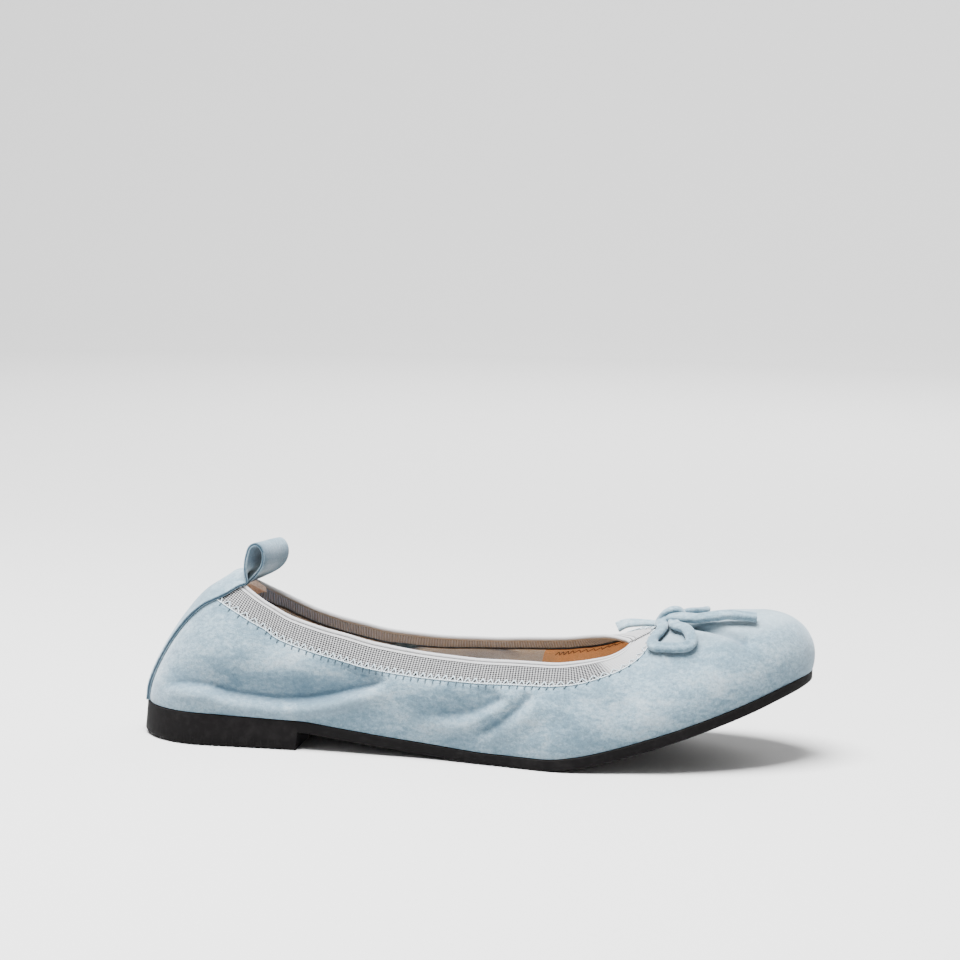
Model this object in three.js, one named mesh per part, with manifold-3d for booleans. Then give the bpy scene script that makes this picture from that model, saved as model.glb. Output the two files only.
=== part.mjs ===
// A ballet flat for the right foot: soft suede upper, elastic band round the opening, suede heel strap
// that folds over into a pull loop, bow on the vamp, thin footbed, and a moulded sole with a low heel.
// Millimetres. +X runs to the toe, +Y to the inner (big toe) side, +Z up, floor at Z = 0.
import * as THREE from "three";
import Module from "manifold-3d";

// Sole
const soleLength = 245;
const ballWidth = 79;
const soleThickness = 4;
const soleEdgeBevel = 0.5;
const heelHeight = 7;
const heelLength = 62;
const heelFlare = 0.7;
const heelBackBevel = 1.2;
const heelBreastSlope = 1.2;
const toeSpring = 29;
const heelRounding = 27;
const toeRounding = 52;

// Footbed
const footbedThickness = 2.5;
const footbedMargin = 0.6;

// Upper
const suedeWall = 1.6;
const featherMargin = 0.8;
const backHeight = 48.3;
const vampHeight = 43;
const toeBoxHeight = 20.5;
const toeBoxDepth = 18;

// Opening and its elastic band
const openingBack = 33;
const openingLength = 145;
const openingWidth = 48;
const openingBackRounding = 16;
const throatRounding = 22;
const throatFan = 12;
const bandWidth = 12;
const bandThickness = 1.1;
const bandRecess = 0.35;

// Heel strap and its pull loop
const strapThickness = 1.4;
const strapTopWidth = 19;
const loopHeight = 13;
const loopDepth = 8;
const loopSkew = 2.8;
const strapTuck = 5;
const strapGap = 0.6;

// Bow
const bowCordWidth = 4.2;
const bowCordThickness = 3.3;
const bowLoopReach = 23;
const bowLoopWidth = 12.5;
const bowFrontTail = 31;
const bowBackTail = 18;
const bowKnotWidth = 10;
const bowAhead = 5;
const bowKnotHeight = 5.5;

// Gap between pieces that touch
const fitGap = 0.3;

// How fine the surfaces are
const columnsToThroat = 38;
const columnsOnVamp = 7;
const columnsOnToe = 9;
const skinRows = 10;
const bandRows = 3;
const soleStations = 60;

// Sides of the sole before its ends are rounded. along: share of soleLength; half: share of half the
// ball width; centre: share of ballWidth, to the inner side.
const soleSides = [
  { along: 0.0, half: 0.66, centre: 0.0 },
  { along: 0.12, half: 0.67, centre: 0.0 },
  { along: 0.26, half: 0.665, centre: -0.004 },
  { along: 0.42, half: 0.68, centre: -0.03 },
  { along: 0.55, half: 0.82, centre: -0.04 },
  { along: 0.66, half: 0.99, centre: -0.02 },
  { along: 0.76, half: 1.0, centre: 0.03 },
  { along: 0.88, half: 0.93, centre: 0.07 },
  { along: 1.0, half: 0.85, centre: 0.1 },
];

// Underside of the outsole. heel: share of heelHeight; spring: share of toeSpring.
const soleLift = [
  { along: 0.0, heel: 1.1, spring: 0 },
  { along: 0.1, heel: 1.06, spring: 0 },
  { along: 0.25, heel: 0.93, spring: 0 },
  { along: 0.3, heel: 0.72, spring: 0 },
  { along: 0.4, heel: 0.34, spring: 0 },
  { along: 0.47, heel: 0.13, spring: 0 },
  { along: 0.54, heel: 0, spring: 0 },
  { along: 0.62, heel: 0, spring: 0 },
  { along: 0.67, heel: 0, spring: 0.05 },
  { along: 0.72, heel: 0, spring: 0.15 },
  { along: 0.77, heel: 0, spring: 0.28 },
  { along: 0.82, heel: 0, spring: 0.42 },
  { along: 0.87, heel: 0, spring: 0.57 },
  { along: 0.92, heel: 0, spring: 0.73 },
  { along: 0.96, heel: 0, spring: 0.87 },
  { along: 1.0, heel: 0, spring: 1 },
];

// Top edge of the elastic band, from the back of the opening to the throat. along: share of
// openingLength; half: share of half openingWidth; rise: share of backHeight above the sole;
// pitch: degrees that the band climbs towards the opening.
const collarRows = [
  { along: 0.0, half: 0.46, rise: 1.0, pitch: 34 },
  { along: 0.035, half: 0.45, rise: 0.941, pitch: 38 },
  { along: 0.1, half: 0.455, rise: 0.827, pitch: 44 },
  { along: 0.166, half: 0.52, rise: 0.738, pitch: 46 },
  { along: 0.231, half: 0.583, rise: 0.694, pitch: 47 },
  { along: 0.297, half: 0.633, rise: 0.676, pitch: 48 },
  { along: 0.383, half: 0.717, rise: 0.649, pitch: 47 },
  { along: 0.486, half: 0.842, rise: 0.645, pitch: 45 },
  { along: 0.6, half: 0.942, rise: 0.654, pitch: 42 },
  { along: 0.748, half: 1.0, rise: 0.669, pitch: 40 },
  { along: 0.869, half: 1.0, rise: 0.671, pitch: 37 },
  { along: 0.922, half: 1.0, rise: 0.665, pitch: 25 },
  { along: 0.972, half: 1.0, rise: 0.648, pitch: 2 },
  { along: 1.0, half: 1.0, rise: 0.65, pitch: -30 },
];

// Crest of the vamp from the throat to the toe box. along: share of the way; rise: share of
// vampHeight above the point where the band ends; the toe box sets the last row.
const crestRows = [
  { along: 0.0, rise: 0 },
  { along: 0.15, rise: 0.34 },
  { along: 0.35, rise: 0.68 },
  { along: 0.65, rise: 0.93 },
  { along: 1.0, rise: 1 },
];

// Which share of the opening's edge each wall reaches. around: share of the way from the heel to
// the wall that ends at the throat.
const spreadRows = [
  { around: 0.0, opening: 0.0 },
  { around: 0.12, opening: 0.07 },
  { around: 0.25, opening: 0.17 },
  { around: 0.5, opening: 0.43 },
  { around: 0.72, opening: 0.7 },
  { around: 0.88, opening: 0.88 },
  { around: 1.0, opening: 1.0 },
];

// Strap width from the sole (rise 0) over the suede's edge (1) to the band's top edge (2), as shares
// of strapTopWidth.
const strapRows = [
  { rise: 0.0, wide: 0.8 },
  { rise: 0.5, wide: 0.84 },
  { rise: 0.8, wide: 1.2 },
  { rise: 1.0, wide: 1.5 },
  { rise: 2.0, wide: 1.0 },
];

// How each wall leaves the sole and arrives at its edge. around: share of the way from heel to toe
// tip; bulge: degrees outwards; start, end: handle lengths as shares of the wall's chord.
const wallRows = [
  { around: 0.0, bulge: 5, start: 0.24, end: 0.14 },
  { around: 0.1, bulge: 7, start: 0.26, end: 0.18 },
  { around: 0.25, bulge: 7, start: 0.32, end: 0.22 },
  { around: 0.45, bulge: 5, start: 0.36, end: 0.22 },
  { around: 0.6, bulge: 9, start: 0.37, end: 0.3 },
  { around: 0.75, bulge: 14, start: 0.38, end: 0.4 },
  { around: 0.88, bulge: 13, start: 0.42, end: 0.44 },
  { around: 1.0, bulge: 12, start: 0.42, end: 0.46 },
];

const wasm = await Module();
wasm.setup();

// Reads a column of a table at a share of the way, with no overshoot between its rows.
function read(rows, column, at, by = "along") {
  const t = rows.map((r) => r[by]);
  const v = rows.map((r) => r[column]);
  const last = rows.length - 1;
  if (at <= t[0]) return v[0];
  if (at >= t[last]) return v[last];
  const slope = (k) => (v[k + 1] - v[k]) / (t[k + 1] - t[k]);
  const tangent = (k) => {
    if (k === 0) return slope(0);
    if (k === last) return slope(last - 1);
    const a = slope(k - 1);
    const b = slope(k);
    return a * b <= 0 ? 0 : (2 * a * b) / (a + b);
  };
  let k = 0;
  while (at > t[k + 1]) k++;
  const span = t[k + 1] - t[k];
  const u = (at - t[k]) / span;
  const u2 = u * u;
  const u3 = u2 * u;
  return (
    v[k] * (2 * u3 - 3 * u2 + 1) +
    tangent(k) * span * (u3 - 2 * u2 + u) +
    v[k + 1] * (3 * u2 - 2 * u3) +
    tangent(k + 1) * span * (u3 - u2)
  );
}

const mix = (a, b, t) => a + (b - a) * t;
const smooth = (t) => t * t * (3 - 2 * t);
const clamp01 = (t) => Math.min(1, Math.max(0, t));
const degrees = (d) => (d * Math.PI) / 180;

// Quarter ellipse that closes an outline over the last `length` before its end.
function roundedEnd(distance, length) {
  const t = clamp01(distance / length);
  return Math.sqrt(Math.max(0, 1 - (1 - t) * (1 - t)));
}

function soleBottom(x) {
  const at = clamp01(x / soleLength);
  return (
    read(soleLift, "heel", at) * heelHeight +
    read(soleLift, "spring", at) * toeSpring
  );
}

const soleTop = (x) => soleBottom(x) + soleThickness;

// One side of the sole in plan; side is -1 for the outer side and 1 for the inner.
function soleEdge(x, side) {
  const at = x / soleLength;
  const half =
    read(soleSides, "half", at) *
    (ballWidth / 2) *
    roundedEnd(x, heelRounding) *
    roundedEnd(soleLength - x, toeRounding);
  return read(soleSides, "centre", at) * ballWidth + side * half;
}

const openingFront = openingBack + openingLength;

// One side of the band's top edge in plan.
function openingEdge(x, side) {
  const at = (x - openingBack) / openingLength;
  const half =
    read(collarRows, "half", at) *
    (openingWidth / 2) *
    roundedEnd(x - openingBack, openingBackRounding) *
    roundedEnd(openingFront - x, throatRounding);
  return side * half;
}

// An edge in plan measured by its own length, so that a share of the way can be looked up.
function measuredEdge(edge, from, to, side) {
  const steps = 400;
  const points = [];
  for (let i = 0; i <= steps; i++) {
    const x = mix(from, to, (1 - Math.cos((Math.PI * i) / steps)) / 2);
    points.push(new THREE.Vector2(x, edge(x, side)));
  }
  const lengths = [0];
  for (let i = 1; i <= steps; i++) {
    lengths.push(lengths[i - 1] + points[i].distanceTo(points[i - 1]));
  }
  const total = lengths[steps];
  const at = (share) => {
    const wanted = clamp01(share) * total;
    let i = 1;
    while (i < steps && lengths[i] < wanted) i++;
    const t = (wanted - lengths[i - 1]) / (lengths[i] - lengths[i - 1]);
    return points[i - 1].clone().lerp(points[i], clamp01(t));
  };
  // Direction of travel, from heel to toe.
  const heading = (share) => {
    const step = 0.004;
    const a = share < step ? mirrored(at(step), points[0], edge, from) : at(share - step);
    const b =
      share > 1 - step
        ? mirrored(at(1 - step), points[steps], edge, to)
        : at(share + step);
    return b.sub(a).normalize();
  };
  const shareOfX = (x) => {
    let i = 1;
    while (i < steps && points[i].x < x) i++;
    const t = clamp01((x - points[i - 1].x) / (points[i].x - points[i - 1].x));
    return mix(lengths[i - 1], lengths[i], t) / total;
  };
  return { at, heading, total, shareOfX };
}

// The matching point on the other side of an end, where both sides meet square to X.
function mirrored(point, end) {
  return new THREE.Vector2(point.x, 2 * end.y - point.y);
}

const sides = [-1, 1];
const feather = new Map(
  sides.map((s) => [s, measuredEdge(soleEdge, 0, soleLength, s)]),
);
const opening = new Map(
  sides.map((s) => [s, measuredEdge(openingEdge, openingBack, openingFront, s)]),
);

// Plan direction away from the shoe, square to a heading.
const outward = (heading, side) =>
  new THREE.Vector3(-side * heading.y, side * heading.x, 0);

// Foot of the upper's wall, standing just inside the sole's edge.
function wallFoot(side, around) {
  const edge = feather.get(side);
  const p = edge.at(around);
  const away = outward(edge.heading(around), side);
  const foot = new THREE.Vector3(p.x, p.y, 0).addScaledVector(away, -featherMargin);
  foot.z = soleTop(foot.x) + fitGap;
  return { foot, away };
}

// Top edge of the band, the way the band climbs there, and the way round the opening.
function bandTop(side, share) {
  const edge = opening.get(side);
  const p = edge.at(share);
  const at = (p.x - openingBack) / openingLength;
  const heading = edge.heading(share);
  const rise = read(collarRows, "rise", at) * backHeight;
  const pitch = degrees(read(collarRows, "pitch", at));
  const inward = outward(heading, side).negate();
  return {
    top: new THREE.Vector3(p.x, p.y, soleTop(p.x) + rise),
    climb: inward.multiplyScalar(Math.cos(pitch)).setZ(Math.sin(pitch)),
    along: new THREE.Vector3(heading.x, heading.y, 0),
  };
}

// Point on the band at a share of its width; 0 is the suede's edge and 1 the top edge.
function bandPoint(side, share, up) {
  const { top, climb } = bandTop(side, share);
  return top.addScaledVector(climb, -(1 - up) * bandWidth);
}

// Direction of the suede's edge in space, from heel to throat.
function edgeHeading(side, share) {
  const step = 0.01;
  if (share > 1 - step) return new THREE.Vector3(0, -side, 0);
  const before = bandPoint(side, Math.max(0, share - step), 0);
  return bandPoint(side, share + step, 0).sub(before).normalize();
}

// Where the vamp is closed, the walls of both sides meet on the crest, and past its end at one point.
const crestStart = bandPoint(1, 1, 0);
const toeTip = wallFoot(1, 1).foot;
const crestEnd = new THREE.Vector3(
  toeTip.x - toeBoxDepth,
  mix(crestStart.y, toeTip.y, 0.8),
  toeTip.z + toeBoxHeight,
);
const throatAround = feather.get(-1).shareOfX(crestStart.x + throatFan);
const crestEndAround = feather.get(-1).shareOfX(crestEnd.x);
const openingShare = (around) =>
  around >= throatAround ? 1 : read(spreadRows, "opening", around / throatAround, "around");

function crestPoint(share) {
  const height = read(crestRows, "rise", share);
  const p = crestStart.clone().lerp(crestEnd, share);
  const top = Math.max(crestEnd.z, crestStart.z + (vampHeight - backHeight * 0.7));
  p.z = mix(crestStart.z, mix(crestEnd.z, top, 4 * share * (1 - share) * 0.1), height);
  return p;
}

// One wall of the suede as a Bezier curve from the sole to the band, the crest or the toe box.
function wallCurve(side, around) {
  const { foot, away } = wallFoot(side, around);
  let end;
  let arrive;
  if (around <= throatAround) {
    const share = openingShare(around);
    const turn = 0.95 * smooth(clamp01((share - 0.6) / 0.4));
    end = bandPoint(side, share, 0);
    arrive = bandTop(side, share).climb.lerp(edgeHeading(side, share), turn);
    arrive.normalize();
  } else {
    const share = clamp01(
      (around - throatAround) / (crestEndAround - throatAround),
    );
    const turn = degrees(
      90 * clamp01((around - crestEndAround) / (1 - crestEndAround)),
    );
    end = crestPoint(share);
    arrive = new THREE.Vector3(-Math.sin(turn), -side * Math.cos(turn), 0);
  }
  const bulge = degrees(read(wallRows, "bulge", around, "around"));
  const leave = away.multiplyScalar(Math.sin(bulge)).setZ(Math.cos(bulge));
  const chord = end.distanceTo(foot);
  return new THREE.CubicBezierCurve3(
    foot,
    foot.clone().addScaledVector(leave, chord * read(wallRows, "start", around, "around")),
    end.clone().addScaledVector(arrive, -chord * read(wallRows, "end", around, "around")),
    end,
  );
}

// An open surface as shared points and triangles. Each strip is a row of points; neighbours are joined.
class Surface {
  constructor() {
    this.points = [];
    this.triangles = [];
    this.rows = [];
    this.found = new Map();
  }
  point(p) {
    const key = [p.x, p.y, p.z].map((c) => Math.round(c * 500)).join(" ");
    if (!this.found.has(key)) {
      this.found.set(key, this.points.length);
      this.points.push(p.clone());
    }
    return this.found.get(key);
  }
  triangle(a, b, c, row) {
    if (a === b || b === c || c === a) return;
    this.triangles.push([a, b, c]);
    this.rows.push(row);
  }
  // strips[i][j] is a grid of points; flip turns its faces round.
  grid(strips, flip) {
    const index = strips.map((strip) => strip.map((p) => this.point(p)));
    for (let i = 0; i + 1 < index.length; i++) {
      for (let j = 0; j + 1 < index[i].length; j++) {
        const [a, b, c, d] = [index[i][j], index[i + 1][j], index[i + 1][j + 1], index[i][j + 1]];
        if (flip) {
          this.triangle(a, c, b, j);
          this.triangle(a, d, c, j);
        } else {
          this.triangle(a, b, c, j);
          this.triangle(a, c, d, j);
        }
      }
    }
    return this;
  }
  normals() {
    const sums = this.points.map(() => new THREE.Vector3());
    for (const [a, b, c] of this.triangles) {
      const ab = this.points[b].clone().sub(this.points[a]);
      const ac = this.points[c].clone().sub(this.points[a]);
      const n = ab.cross(ac);
      for (const k of [a, b, c]) sums[k].add(n);
    }
    return sums.map((n) => n.normalize());
  }
  // Closed sheet between two distances from the surface, outer above inner, over the rows to keep.
  // Points named in `moved` are set aside by their own distance.
  thickened(outer, inner, keep = () => true, moved = new Map()) {
    const normals = this.normals();
    const count = this.points.length;
    const solid = new Surface();
    solid.points = [outer, inner].flatMap((distance) =>
      this.points.map((p, i) =>
        p
          .clone()
          .addScaledVector(normals[i], distance)
          .add(moved.get(i) || new THREE.Vector3()),
      ),
    );
    const edges = new Map();
    for (const [a, b, c] of this.triangles.filter((_, i) => keep(this.rows[i]))) {
      solid.triangles.push([a, b, c], [a + count, c + count, b + count]);
      for (const [p, q] of [[a, b], [b, c], [c, a]]) {
        const twin = q + " " + p;
        if (edges.has(twin)) edges.delete(twin);
        else edges.set(p + " " + q, [p, q]);
      }
    }
    for (const [p, q] of edges.values()) {
      solid.triangles.push([p, p + count, q + count], [p, q + count, q]);
    }
    return solid;
  }
  geometry() {
    const g = new THREE.BufferGeometry();
    const flat = this.points.flatMap((p) => [p.x, p.y, p.z]);
    g.setAttribute("position", new THREE.Float32BufferAttribute(flat, 3));
    g.setIndex(this.triangles.flat());
    g.computeVertexNormals();
    return g;
  }
  manifold() {
    return new wasm.Manifold(
      new wasm.Mesh({
        numProp: 3,
        vertProperties: new Float32Array(this.points.flatMap((p) => [p.x, p.y, p.z])),
        triVerts: new Uint32Array(this.triangles.flat()),
      }),
    );
  }
}

function geometryOf(manifold) {
  const { vertProperties, triVerts } = manifold.getMesh();
  const g = new THREE.BufferGeometry();
  g.setAttribute("position", new THREE.BufferAttribute(vertProperties, 3));
  g.setIndex(new THREE.BufferAttribute(triVerts, 1));
  g.computeVertexNormals();
  return g;
}

// Shares of the way round the wall at which the suede has a column of points.
const wallColumns = [
  ...Array.from({ length: columnsToThroat }, (_, i) => {
    const t = i / columnsToThroat;
    return throatAround * mix(t, smooth(t), 0.7);
  }),
  ...Array.from({ length: columnsOnVamp }, (_, i) =>
    mix(throatAround, crestEndAround, i / columnsOnVamp),
  ),
  ...Array.from({ length: columnsOnToe + 1 }, (_, i) =>
    mix(crestEndAround, 1, i / columnsOnToe),
  ),
];

// The shoe's outside: rows of suede up to its edge, then rows of the band.
const skin = new Surface();
const bandStart = new Map();
for (const side of sides) {
  const suede = (around) => wallCurve(side, around).getPoints(skinRows);
  const band = (around) =>
    Array.from({ length: bandRows }, (_, j) =>
      bandPoint(side, openingShare(around), (j + 1) / bandRows),
    );
  const beside = wallColumns.filter((a) => a <= throatAround);
  const ahead = wallColumns.filter((a) => a >= throatAround);
  skin.grid(beside.map((a) => [...suede(a), ...band(a)]), side > 0);
  skin.grid(ahead.map(suede), side > 0);
  const edges = beside.map((a) => wallCurve(side, a).getPoint(1));
  edges.forEach((edge, i) => {
    const { climb, along } = bandTop(side, openingShare(beside[i]));
    if (i > 0 && i + 1 < edges.length) along.subVectors(edges[i + 1], edges[i - 1]);
    bandStart.set(skin.point(edge), { climb, along });
  });
}

// The band's first row stands off the suede's edge, square to the rim that both have there.
const skinNormals = skin.normals();
for (const [index, { climb, along }] of bandStart) {
  const off = along.cross(skinNormals[index]).normalize();
  bandStart.set(index, off.multiplyScalar(off.dot(climb) < 0 ? -fitGap : fitGap));
}

function upper() {
  return skin.thickened(0, -suedeWall, (row) => row < skinRows).geometry();
}

function elasticBand() {
  const isBand = (row) => row >= skinRows;
  return skin
    .thickened(-bandRecess, -bandRecess - bandThickness, isBand, bandStart)
    .geometry();
}

// Height and slope of the shoe's outside at a place in plan, from suede and band.
function outsideAt(x, y) {
  let best = null;
  for (const [a, b, c] of skin.triangles) {
    const [p, q, r] = [skin.points[a], skin.points[b], skin.points[c]];
    const area = (q.x - p.x) * (r.y - p.y) - (r.x - p.x) * (q.y - p.y);
    if (Math.abs(area) < 1e-9) continue;
    const v = ((x - p.x) * (r.y - p.y) - (r.x - p.x) * (y - p.y)) / area;
    const w = ((q.x - p.x) * (y - p.y) - (x - p.x) * (q.y - p.y)) / area;
    if (v < 0 || w < 0 || v + w > 1) continue;
    const z = p.z + v * (q.z - p.z) + w * (r.z - p.z);
    if (best && best.height >= z) continue;
    const normal = q.clone().sub(p).cross(r.clone().sub(p)).normalize();
    best = { height: z, normal: normal.z < 0 ? normal.negate() : normal };
  }
  return best;
}

// The strap's centre surface: up the back of the upper, over into the loop, and down inside the band.
function heelStrap() {
  const lift = strapGap + strapThickness / 2;
  const inside = bandRecess + bandThickness + strapGap + strapThickness / 2;
  const across = [-1, -0.75, -0.5, -0.25, 0, 0.25, 0.5, 0.75, 1];
  // A place on the upper (rise 0 to 1) or on the band (1 to 2).
  const place = (around, rise) => {
    const side = around < 0 ? -1 : 1;
    return rise <= 1
      ? wallCurve(side, Math.abs(around)).getPoint(rise)
      : bandPoint(side, openingShare(Math.abs(around)), rise - 1);
  };
  // The same place by its distance across, this far off the shoe's face.
  const onShoe = (b, rise, off) => {
    const step = 0.012;
    const perAround = place(step, rise).distanceTo(place(0, rise)) / step;
    const wide = read(strapRows, "wide", rise, "rise") * strapTopWidth;
    const around = ((b / 2) * wide) / perAround;
    const small = 0.04;
    const above = place(around, Math.min(2, rise + small));
    const upwards = above.sub(place(around, Math.max(0, rise - small)));
    const sideways = place(around + small / 20, rise).sub(place(around - small / 20, rise));
    return place(around, rise).addScaledVector(upwards.cross(sideways).normalize(), off);
  };
  const climb = [0.03, 0.14, 0.26, 0.38, 0.5, 0.62, 0.74, 0.86, 1, 1.25, 1.5, 1.75, 2];
  // ahead and up: shares of loopDepth and loopHeight; straight: how far the fold is a straight tube;
  // wide: share of the strap's width, less where it goes back inside the band.
  const fold = [
    { ahead: 0.36, up: 0.14, straight: 0.6, wide: 1 },
    { ahead: 0.6, up: 0.36, straight: 1, wide: 1 },
    { ahead: 0.67, up: 0.66, straight: 1, wide: 1 },
    { ahead: 0.84, up: 0.92, straight: 1, wide: 1 },
    { ahead: 1.14, up: 0.98, straight: 1, wide: 1 },
    { ahead: 1.4, up: 0.8, straight: 1, wide: 0.98 },
    { ahead: 1.42, up: 0.5, straight: 1, wide: 0.92 },
    { ahead: 1.16, up: 0.24, straight: 0.9, wide: 0.8 },
  ];
  const tubeEdge = onShoe(0.7, 2, lift);
  const strips = across.map((b) => {
    const strip = climb.map((rise) => onShoe(b, rise, lift));
    const start = onShoe(b, 2, lift);
    const tube = new THREE.Vector3(
      tubeEdge.x + loopSkew * b,
      start.y,
      tubeEdge.z,
    );
    for (const row of fold) {
      const p = start.clone().lerp(tube, row.straight);
      p.x += row.ahead * loopDepth;
      p.y *= row.wide;
      p.z += row.up * loopHeight;
      strip.push(p);
    }
    strip.push(onShoe(b * 0.75, 2, -inside - fitGap));
    strip.push(onShoe(b * 0.75, 2 - strapTuck / bandWidth, -inside));
    return strip;
  });
  return new Surface()
    .grid(strips, false)
    .thickened(strapThickness / 2, -strapThickness / 2)
    .geometry();
}

// A closed body through rings of the sole's outline, capped across from side to side.
// rings: how far each lies inside the outline, and its height, both as functions of x.
function stackedOutlines(rings) {
  const breast = [heelLength - heelBreastSlope, heelLength];
  const even = Array.from(
    { length: soleStations + 1 },
    (_, i) => (soleLength * (1 - Math.cos((Math.PI * i) / soleStations))) / 2,
  );
  const clear = even.filter((x) => breast.every((b) => Math.abs(x - b) > 1));
  const stations = [...clear, ...breast].sort((a, b) => a - b);
  const ringSides = rings.map(({ inset, height }) =>
    sides.map((side) =>
      stations.map((x) => {
        const edge = feather.get(side);
        const away = outward(edge.heading(edge.shareOfX(x)), side);
        const p = new THREE.Vector3(x, soleEdge(x, side), height(x));
        return p.addScaledVector(away, -inset(x));
      }),
    ),
  );
  const body = new Surface();
  for (let i = 0; i + 1 < ringSides.length; i++) {
    body.grid([ringSides[i][0], ringSides[i + 1][0]], false);
    body.grid([ringSides[i][1], ringSides[i + 1][1]], true);
  }
  body.grid([ringSides[0][0], ringSides[0][1]], true);
  body.grid([ringSides[ringSides.length - 1][0], ringSides[ringSides.length - 1][1]], false);
  return body.geometry();
}

function outsole() {
  const isHeel = (x) => x < heelLength - heelBreastSlope / 2;
  const backBevel = (x) => heelBackBevel * (1 - smooth(clamp01((3 * x) / heelLength)));
  const underside = (x) => (isHeel(x) ? backBevel(x) : soleBottom(x));
  const flare = (x) => (isHeel(x) ? heelFlare : 0);
  return stackedOutlines([
    { inset: () => 0, height: soleTop },
    { inset: (x) => -flare(x), height: (x) => underside(x) + soleEdgeBevel },
    { inset: (x) => soleEdgeBevel - flare(x), height: underside },
  ]);
}

function footbed() {
  const inset = featherMargin + suedeWall + footbedMargin;
  const bottom = (x) => soleTop(x) + fitGap;
  const roundOver = footbedThickness / 3;
  return stackedOutlines([
    { inset: () => inset + roundOver, height: (x) => bottom(x) + footbedThickness },
    { inset: () => inset, height: (x) => bottom(x) + footbedThickness - roundOver },
    { inset: () => inset, height: bottom },
  ]);
}

// A cord of oval section along points, with its flat side square to `up` at each point.
function cord(path, ups, width, thickness) {
  const ringSize = 8;
  const body = new Surface();
  const rings = path.map((p, i) => {
    const before = path[Math.max(0, i - 1)];
    const after = path[Math.min(path.length - 1, i + 1)];
    const heading = after.clone().sub(before).normalize();
    const across = heading.clone().cross(ups[i]).normalize();
    const up = across.clone().cross(heading).normalize();
    return Array.from({ length: ringSize + 1 }, (_, k) => {
      const turn = (2 * Math.PI * (k % ringSize)) / ringSize;
      return p
        .clone()
        .addScaledVector(across, (Math.cos(turn) * width) / 2)
        .addScaledVector(up, (Math.sin(turn) * thickness) / 2);
    });
  });
  const startCap = rings[0].map(() => path[0]);
  const endCap = rings[0].map(() => path[path.length - 1]);
  body.grid([startCap, ...rings, endCap], false);
  return body;
}

// The outside averaged over a small patch, so that a cord lies smoothly over the band's edge.
function softOutsideAt(x, y) {
  const reach = 2.5;
  const around = [[0, 0], [1, 0], [-1, 0], [0, 1], [0, -1]];
  const found = around
    .map(([dx, dy]) => outsideAt(x + dx * reach, y + dy * reach))
    .filter((place) => place);
  const normal = new THREE.Vector3();
  for (const place of found) normal.add(place.normal);
  const height = found.reduce((sum, place) => sum + place.height, 0) / found.length;
  return { height, normal: normal.normalize() };
}

// A bow cord over the vamp. rows: ahead and side in mm from the knot, lift above the shoe.
function bowCord(knot, rows, width = bowCordWidth) {
  const plan = new THREE.CatmullRomCurve3(
    rows.map((r) => new THREE.Vector3(r.ahead, r.side, r.lift)),
    false,
    "centripetal",
  ).getPoints(rows.length * 2);
  const ups = [];
  const path = plan.map((p) => {
    const x = knot.x + p.x;
    const y = knot.y + p.y;
    const below = softOutsideAt(Math.max(x, openingFront + 1), y);
    const clear = 2 * fitGap + bowCordThickness / 2 + p.z;
    ups.push(below.normal);
    return new THREE.Vector3(x, y, below.height).addScaledVector(below.normal, clear);
  });
  return cord(path, ups, width, bowCordThickness).manifold();
}

function bow() {
  const knot = new THREE.Vector3(crestStart.x + bowAhead, crestStart.y, 0);
  const half = bowLoopWidth / 2;
  // A loop that leaves the knot, runs out to its reach and comes back. swing: degrees towards the toe.
  const loopRows = (side, swing) => {
    const turn = degrees(swing);
    return [
      [-0.1, 0, 0.8],
      [-0.45, 0.26, 0.8],
      [-0.85, 0.52, 0.5],
      [-0.95, 0.74, 0.3],
      [-0.5, 0.95, 0.2],
      [0, 1, 0.2],
      [0.5, 0.95, 0.2],
      [0.95, 0.74, 0.3],
      [0.85, 0.52, 0.5],
      [0.45, 0.26, 0.8],
      [0.1, 0, 0.8],
    ].map(([across, out, lift]) => {
      const a = across * half;
      const o = out * bowLoopReach;
      return {
        ahead: a * Math.cos(turn) + o * Math.sin(turn),
        side: side * (o * Math.cos(turn) - a * Math.sin(turn)),
        lift,
      };
    });
  };
  const tail = (ahead, side, lift) => [
    { ahead: 0, side: 0, lift: 1.6 },
    { ahead: ahead * 0.3, side: side * 0.3, lift: mix(1.6, lift, 0.3) },
    { ahead: ahead * 0.65, side: side * 0.75, lift: mix(1.6, lift, 0.7) },
    { ahead, side, lift },
  ];
  const pieces = [
    bowCord(knot, loopRows(-1, 10)),
    bowCord(knot, loopRows(1, 26)),
    bowCord(knot, tail(bowFrontTail, -7, 0.1)),
    bowCord(knot, tail(-bowBackTail, 3.5, 1.4)),
  ];
  // The cord wrapped over the middle stands up as an arch from front to back.
  const base = outsideAt(knot.x, knot.y);
  const arch = Array.from({ length: 9 }, (_, i) => {
    const turn = (Math.PI * i) / 8;
    const x = knot.x - (Math.cos(turn) * bowKnotWidth) / 2;
    const foot = outsideAt(x, knot.y).height + fitGap + bowCordThickness / 2;
    return new THREE.Vector3(x, knot.y, foot + Math.sin(turn) * bowKnotHeight);
  });
  const sideways = arch.map((p) => new THREE.Vector3(p.x - knot.x, 0, p.z - base.height).normalize());
  pieces.push(cord(arch, sideways, bowCordWidth, bowCordThickness).manifold());
  const core = [-3.2, 3.2].map((ahead) => {
    const below = outsideAt(knot.x + ahead, knot.y);
    const foot = new THREE.Vector3(knot.x + ahead, knot.y, below.height);
    return foot.addScaledVector(below.normal, fitGap + bowCordThickness);
  });
  const coreUps = core.map(() => base.normal);
  pieces.push(cord(core, coreUps, 5.4, bowCordThickness * 1.5).manifold());
  // Only the outer shell is kept, so that no hollow is sealed inside the knot.
  const shells = pieces.reduce((whole, piece) => whole.add(piece)).decompose();
  return geometryOf(shells.sort((a, b) => b.volume() - a.volume())[0]);
}

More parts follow.
